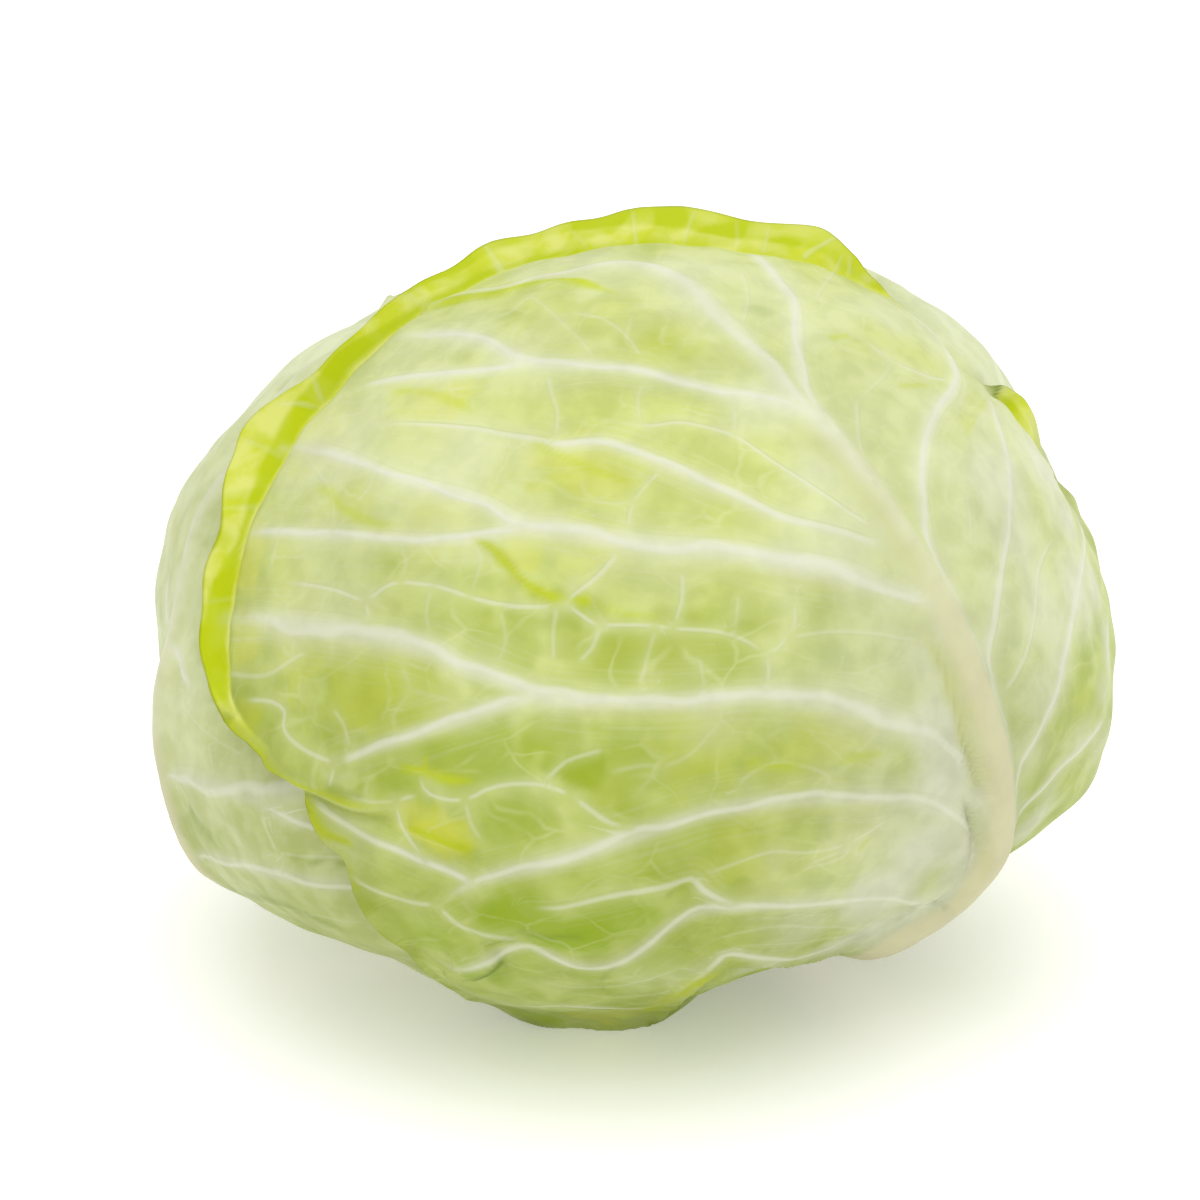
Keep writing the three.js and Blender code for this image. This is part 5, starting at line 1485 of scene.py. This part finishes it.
class CabbageHues(bpy.types.PropertyGroup):
    """Colours of the leaves, ribs and stem."""
    # Each colour lower down, and the green that each blade turns to lower down, is greener and darker:
    # partly the leaves' own colour, partly painted shade
    light: colour_prop("Light green", "Blade where it is palest", 199, 209, 122)
    middle: colour_prop("Green", "Blade lower down", 135, 150, 40)
    deep: colour_prop("Deep green", "Blade in its darkest patches", 136, 158, 30)
    yellow: colour_prop("Yellow", "Bruised patches", 206, 209, 70)
    yellow_low: colour_prop("Yellow lower down", "Bruised patches, lower down", 178, 180, 60)
    pale: colour_prop("Pale", "Blade close to the veins", 214, 220, 166)
    pale_low: colour_prop("Pale lower down", "Blade close to the veins, lower down", 164, 172, 95)
    vein: colour_prop("Vein", "Side ribs and small veins", 222, 224, 200)
    # Painted shade: the vein colour darkened lower down
    vein_shaded: colour_prop("Vein lower down", "Side ribs and small veins, lower down", 177, 180, 149)
    crest: colour_prop("Crest of a vein", "Bright line on a rib or vein", 218, 221, 201)
    # Painted shade: the crest colour darkened lower down
    crest_shaded: colour_prop("Crest lower down", "Bright line on a rib or vein, lower down", 200, 202, 175)
    shade: colour_prop("Vein shadow", "Thin line beside a vein", 170, 180, 120)
    midrib: colour_prop("Midrib", "Thick middle rib", 209, 209, 166)
    # Painted shade: the midrib's cream darkened lower down, where its base lies in shade
    midrib_shaded: colour_prop("Midrib lower down", "Thick middle rib, lower down", 192, 187, 151)
    brim: colour_prop("Margin", "Outer part of the standing margin", 196, 206, 44)
    brim_pale: colour_prop("Pale margin", "Paler places of the standing margin", 212, 216, 112)
    vivid: colour_prop("Crease", "Inner part of the standing margin", 180, 194, 0)
    # Fold colour: the folds' own yellow-green, which also paints the shade in the laps' grooves and a few
    # shadows
    streak: colour_prop("Fold", "Sharp folds and creases", 190, 204, 8)
    streak_low: colour_prop("Fold lower down", "Sharp folds and creases, lower down", 154, 164, 12)
    # Painted shade in the creases beside the midrib and ribs, along grooves and in folds
    crease_shade: colour_prop("Shaded crease", "Crease beside the midrib and ribs", 188, 192, 120)
    # Painted shadow in the deepest folds, in the slit and under lips
    dark: colour_prop("Dark fold", "Deepest folds", 104, 126, 8)
    side_light: colour_prop("Side leaf light", "Paler leaves at the sides", 215, 221, 179)
    side_middle: colour_prop("Side leaf green", "Green of the leaves at the sides", 161, 170, 103)
    under_light: colour_prop("Under leaf light", "Leaves underneath, at their palest", 212, 218, 172)
    under_middle: colour_prop("Under leaf green", "Leaves underneath", 166, 186, 100)
    flesh: colour_prop("Flesh", "Heart and cut stem", 232, 232, 200)
    fibre: colour_prop("Fibre", "Darker fibres of the cut stem", 202, 200, 146)


class StageSettings(bpy.types.PropertyGroup):
    """Light and floor."""
    floor: colour_prop("Floor", "Colour of the floor", 252, 252, 251)
    floor_glow: FloatProperty(name="Floor glow", default=0.25, min=0.0,
                              description="Light of the floor itself, which keeps shadows pale")
    key_power: FloatProperty(name="Key light", description="Power of the large light overhead",
                             default=34.0, min=0.0, unit="POWER")
    sky: FloatProperty(name="Surrounding light", description="Strength of the even light all round",
                       default=0.82, min=0.0)


def shared_groups():
    """The node groups that every leaf material places."""
    makers = {"vein_line": vein_line_group, "fine_net": fine_net_group, "fibres": fibres_group,
              "leaf_cloud": leaf_cloud_group}
    return {name: bpy.data.node_groups.get(name) or make() for name, make in makers.items()}


def leaf_finish(slot):
    """Material of the leaves that share a slot, made once."""
    name = slot + "_finish"
    found = bpy.data.materials.get(name)
    if found:
        return found
    hues = bpy.context.scene.cabbage_hues
    greens = {
        "outer_leaf": (hues.light, hues.middle, hues.deep),
        "side_leaf": (hues.side_light, hues.side_middle, hues.middle),
        "under_leaf": (hues.under_light, hues.under_middle, hues.deep),
    }[slot]
    return leaf_material(name, greens, hues, shared_groups(), brim=1.0 if slot == "outer_leaf" else 0.5)


def settle(piece, node, material):
    """Gives a piece its material and body, and hides the CAD node that it stands for."""
    piece.data.materials.clear()
    piece.data.materials.append(material)
    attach(piece, "root")
    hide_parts(node)


def build_leaves(leaves):
    """Builds some of the leaves."""
    for leaf in leaves:
        settle(build_leaf(leaf), leaf["name"], leaf_finish(leaf["slot"]))


class CABBAGE_OT_outer_leaves(bpy.types.Operator):
    """Builds the two leaves that show most: the front leaf and the left leaf"""
    bl_idname = "cabbage.outer_leaves"
    bl_label = "Outer leaves"

    def execute(self, context):
        build_leaves(prepared_leaves()[:OUTERMOST])
        return {"FINISHED"}


class CABBAGE_OT_inner_leaves(bpy.types.Operator):
    """Builds the leaves behind and underneath"""
    bl_idname = "cabbage.inner_leaves"
    bl_label = "Leaves behind and underneath"

    def execute(self, context):
        build_leaves(prepared_leaves()[OUTERMOST:])
        return {"FINISHED"}


class CABBAGE_OT_heart(bpy.types.Operator):
    """Builds the dense heart: a closed round under all the leaves, with shallow folds in a spiral"""
    bl_idname = "cabbage.heart"
    bl_label = "Heart"

    def execute(self, context):
        t, p = pairs(np.linspace(0.0, math.pi, HEART_RINGS + 2)[1:-1],
                     np.linspace(0.0, 2.0 * math.pi, HEART_COLUMNS, endpoint=False))
        t, p = np.concatenate([[0.0], t, [math.pi]]), np.concatenate([[0.0], p, [0.0]])
        d = np.cos(t)[:, None] * GROW_AXIS + np.sin(t)[:, None] * about_stem(p)
        depth = layers_over(len(prepared_leaves()), d)[0] + HEART_GAP
        fold = (np.degrees(p) / FOLD_TURN + t) % 1.0
        radius = above_floor(head_radius(d) - depth - FOLD_HEIGHT * fold * np.sin(t), d, depth)
        piece = mesh_object("heart_core", CENTRE + d * radius[:, None],
                            *round_faces(HEART_RINGS, HEART_COLUMNS))
        hues = context.scene.cabbage_hues
        settle(piece, "heart", flesh_material("heart_finish", hues.flesh, hues.side_light, 60.0))
        return {"FINISHED"}


class CABBAGE_OT_stem(bpy.types.Operator):
    """Builds the stem: a fluted round turned about its axis, with a slightly hollow cut face"""
    bl_idname = "cabbage.stem"
    bl_label = "Cut stem"

    def execute(self, context):
        path = smooth_path(np.array(STEM_PROFILE), STEM_STEP)
        turn = np.linspace(0.0, 2.0 * math.pi, STEM_COLUMNS, endpoint=False)
        flutes = 1.0 + sum(high * np.sin(count * turn + phase) for high, count, phase in STEM_FLUTES)
        spin = flutes[:, None] * about_stem(turn)
        rings = path[:, 0, None, None] * spin + path[:, 1, None, None] * STEM_DIRECTION
        tip, hollow = CORE_TIP * STEM_DIRECTION, (STEM_END - STEM_HOLLOW) * STEM_DIRECTION
        points = np.vstack([tip, rings.reshape(-1, 3), hollow])
        cells, fans = round_faces(len(path), STEM_COLUMNS)
        piece = mesh_object("cut_stem", CENTRE + points, cells[:, ::-1], fans[:, ::-1])
        hues = context.scene.cabbage_hues
        settle(piece, "stem", flesh_material("stem_finish", hues.flesh, hues.fibre, 220.0))
        return {"FINISHED"}


def area_light(name, place, target, size, power):
    """A square soft light that faces a target."""
    light = bpy.data.lights.new(name, "AREA")
    light.size = size
    light.energy = power
    lamp = bpy.data.objects.new(name, light)
    lamp.location = place
    aim_at(lamp, target)
    bpy.context.scene.collection.objects.link(lamp)


def aim_at(thing, target):
    """Turns a light or camera, which look along their own -Z, towards a target."""
    line = Vector(target) - thing.location
    thing.rotation_euler = line.to_track_quat("-Z", "Y").to_euler()


def pale_floor(stage):
    """The square floor, which glows a little so that the shadows on it stay pale."""
    corners = [(x * FLOOR_HALF, y * FLOOR_HALF, 0.0) for x, y in ((-1, -1), (1, -1), (1, 1), (-1, 1))]
    mesh = bpy.data.meshes.new("floor")
    mesh.from_pydata(corners, [], [(0, 1, 2, 3)])
    floor = bpy.data.objects.new("floor", mesh)
    bpy.context.scene.collection.objects.link(floor)
    material, _, shader = new_material("floor")
    shader.inputs["Base Color"].default_value = paint(stage.floor)
    shader.inputs["Roughness"].default_value = FLOOR_ROUGHNESS
    shader.inputs["Emission Color"].default_value = paint(stage.floor)
    shader.inputs["Emission Strength"].default_value = stage.floor_glow
    mesh.materials.append(material)
    return floor


def view_camera():
    """The camera at the view's eye, shifted so that the head's centre falls on its own pixel."""
    lens = bpy.data.cameras.new("camera")
    camera = bpy.data.objects.new("camera", lens)
    camera.location = CENTRE * MM + TO_EYE * VIEW_DISTANCE * MM
    aim_at(camera, CENTRE * MM)
    lens.sensor_width = SENSOR
    lens.lens = PIXELS_PER_MM * VIEW_DISTANCE / PICTURE_SIDE * SENSOR
    lens.shift_x = -(CENTRE_PIXEL[0] - PICTURE_SIDE / 2.0) / PICTURE_SIDE
    lens.shift_y = (CENTRE_PIXEL[1] - PICTURE_SIDE / 2.0) / PICTURE_SIDE
    bpy.context.scene.collection.objects.link(camera)
    return camera


class CABBAGE_OT_stage(bpy.types.Operator):
    """Sets the pale floor, the soft light and the camera at the view's own angle"""
    bl_idname = "cabbage.stage"
    bl_label = "Floor, light and camera"

    def execute(self, context):
        scene = context.scene
        stage = scene.cabbage_stage
        floor = pale_floor(stage)
        world = bpy.data.worlds.new("studio")
        world.use_nodes = True
        background = world.node_tree.nodes["Background"]
        background.inputs["Color"].default_value = (1.0, 1.0, 1.0, 1.0)
        background.inputs["Strength"].default_value = stage.sky
        scene.world = world
        area_light("key", KEY_PLACE, CENTRE * MM, KEY_SIZE, stage.key_power)
        scene.camera = view_camera()
        scene.view_settings.view_transform = "Standard"
        return {"FINISHED"}


class CABBAGE_PT_panel(bpy.types.Panel):
    """Lists the cabbage's colours, light and pieces"""
    bl_idname = "CABBAGE_PT_panel"
    bl_label = "Green cabbage"
    bl_space_type = "VIEW_3D"
    bl_region_type = "UI"
    bl_category = "Cabbage"

    def draw(self, context):
        for group in (context.scene.cabbage_hues, context.scene.cabbage_stage):
            for key in group.__annotations__:
                self.layout.prop(group, key)
        for builder in BUILDERS:
            self.layout.operator(builder.bl_idname)


BUILDERS = (
    CABBAGE_OT_stage, CABBAGE_OT_stem, CABBAGE_OT_heart, CABBAGE_OT_inner_leaves, CABBAGE_OT_outer_leaves,
)
CLASSES = (CabbageHues, StageSettings, *BUILDERS, CABBAGE_PT_panel)


def register():
    """Registers the classes and the scene's settings."""
    for item in CLASSES:
        bpy.utils.register_class(item)
    bpy.types.Scene.cabbage_hues = PointerProperty(type=CabbageHues)
    bpy.types.Scene.cabbage_stage = PointerProperty(type=StageSettings)


def unregister():
    """Takes them away again."""
    del bpy.types.Scene.cabbage_stage
    del bpy.types.Scene.cabbage_hues
    for item in reversed(CLASSES):
        bpy.utils.unregister_class(item)


def main():
    register()
    bpy.ops.cabbage.stage()
    bpy.ops.cabbage.stem()
    bpy.ops.cabbage.heart()
    bpy.ops.cabbage.inner_leaves()
    bpy.ops.cabbage.outer_leaves()


if __name__ == "__main__":
    main()
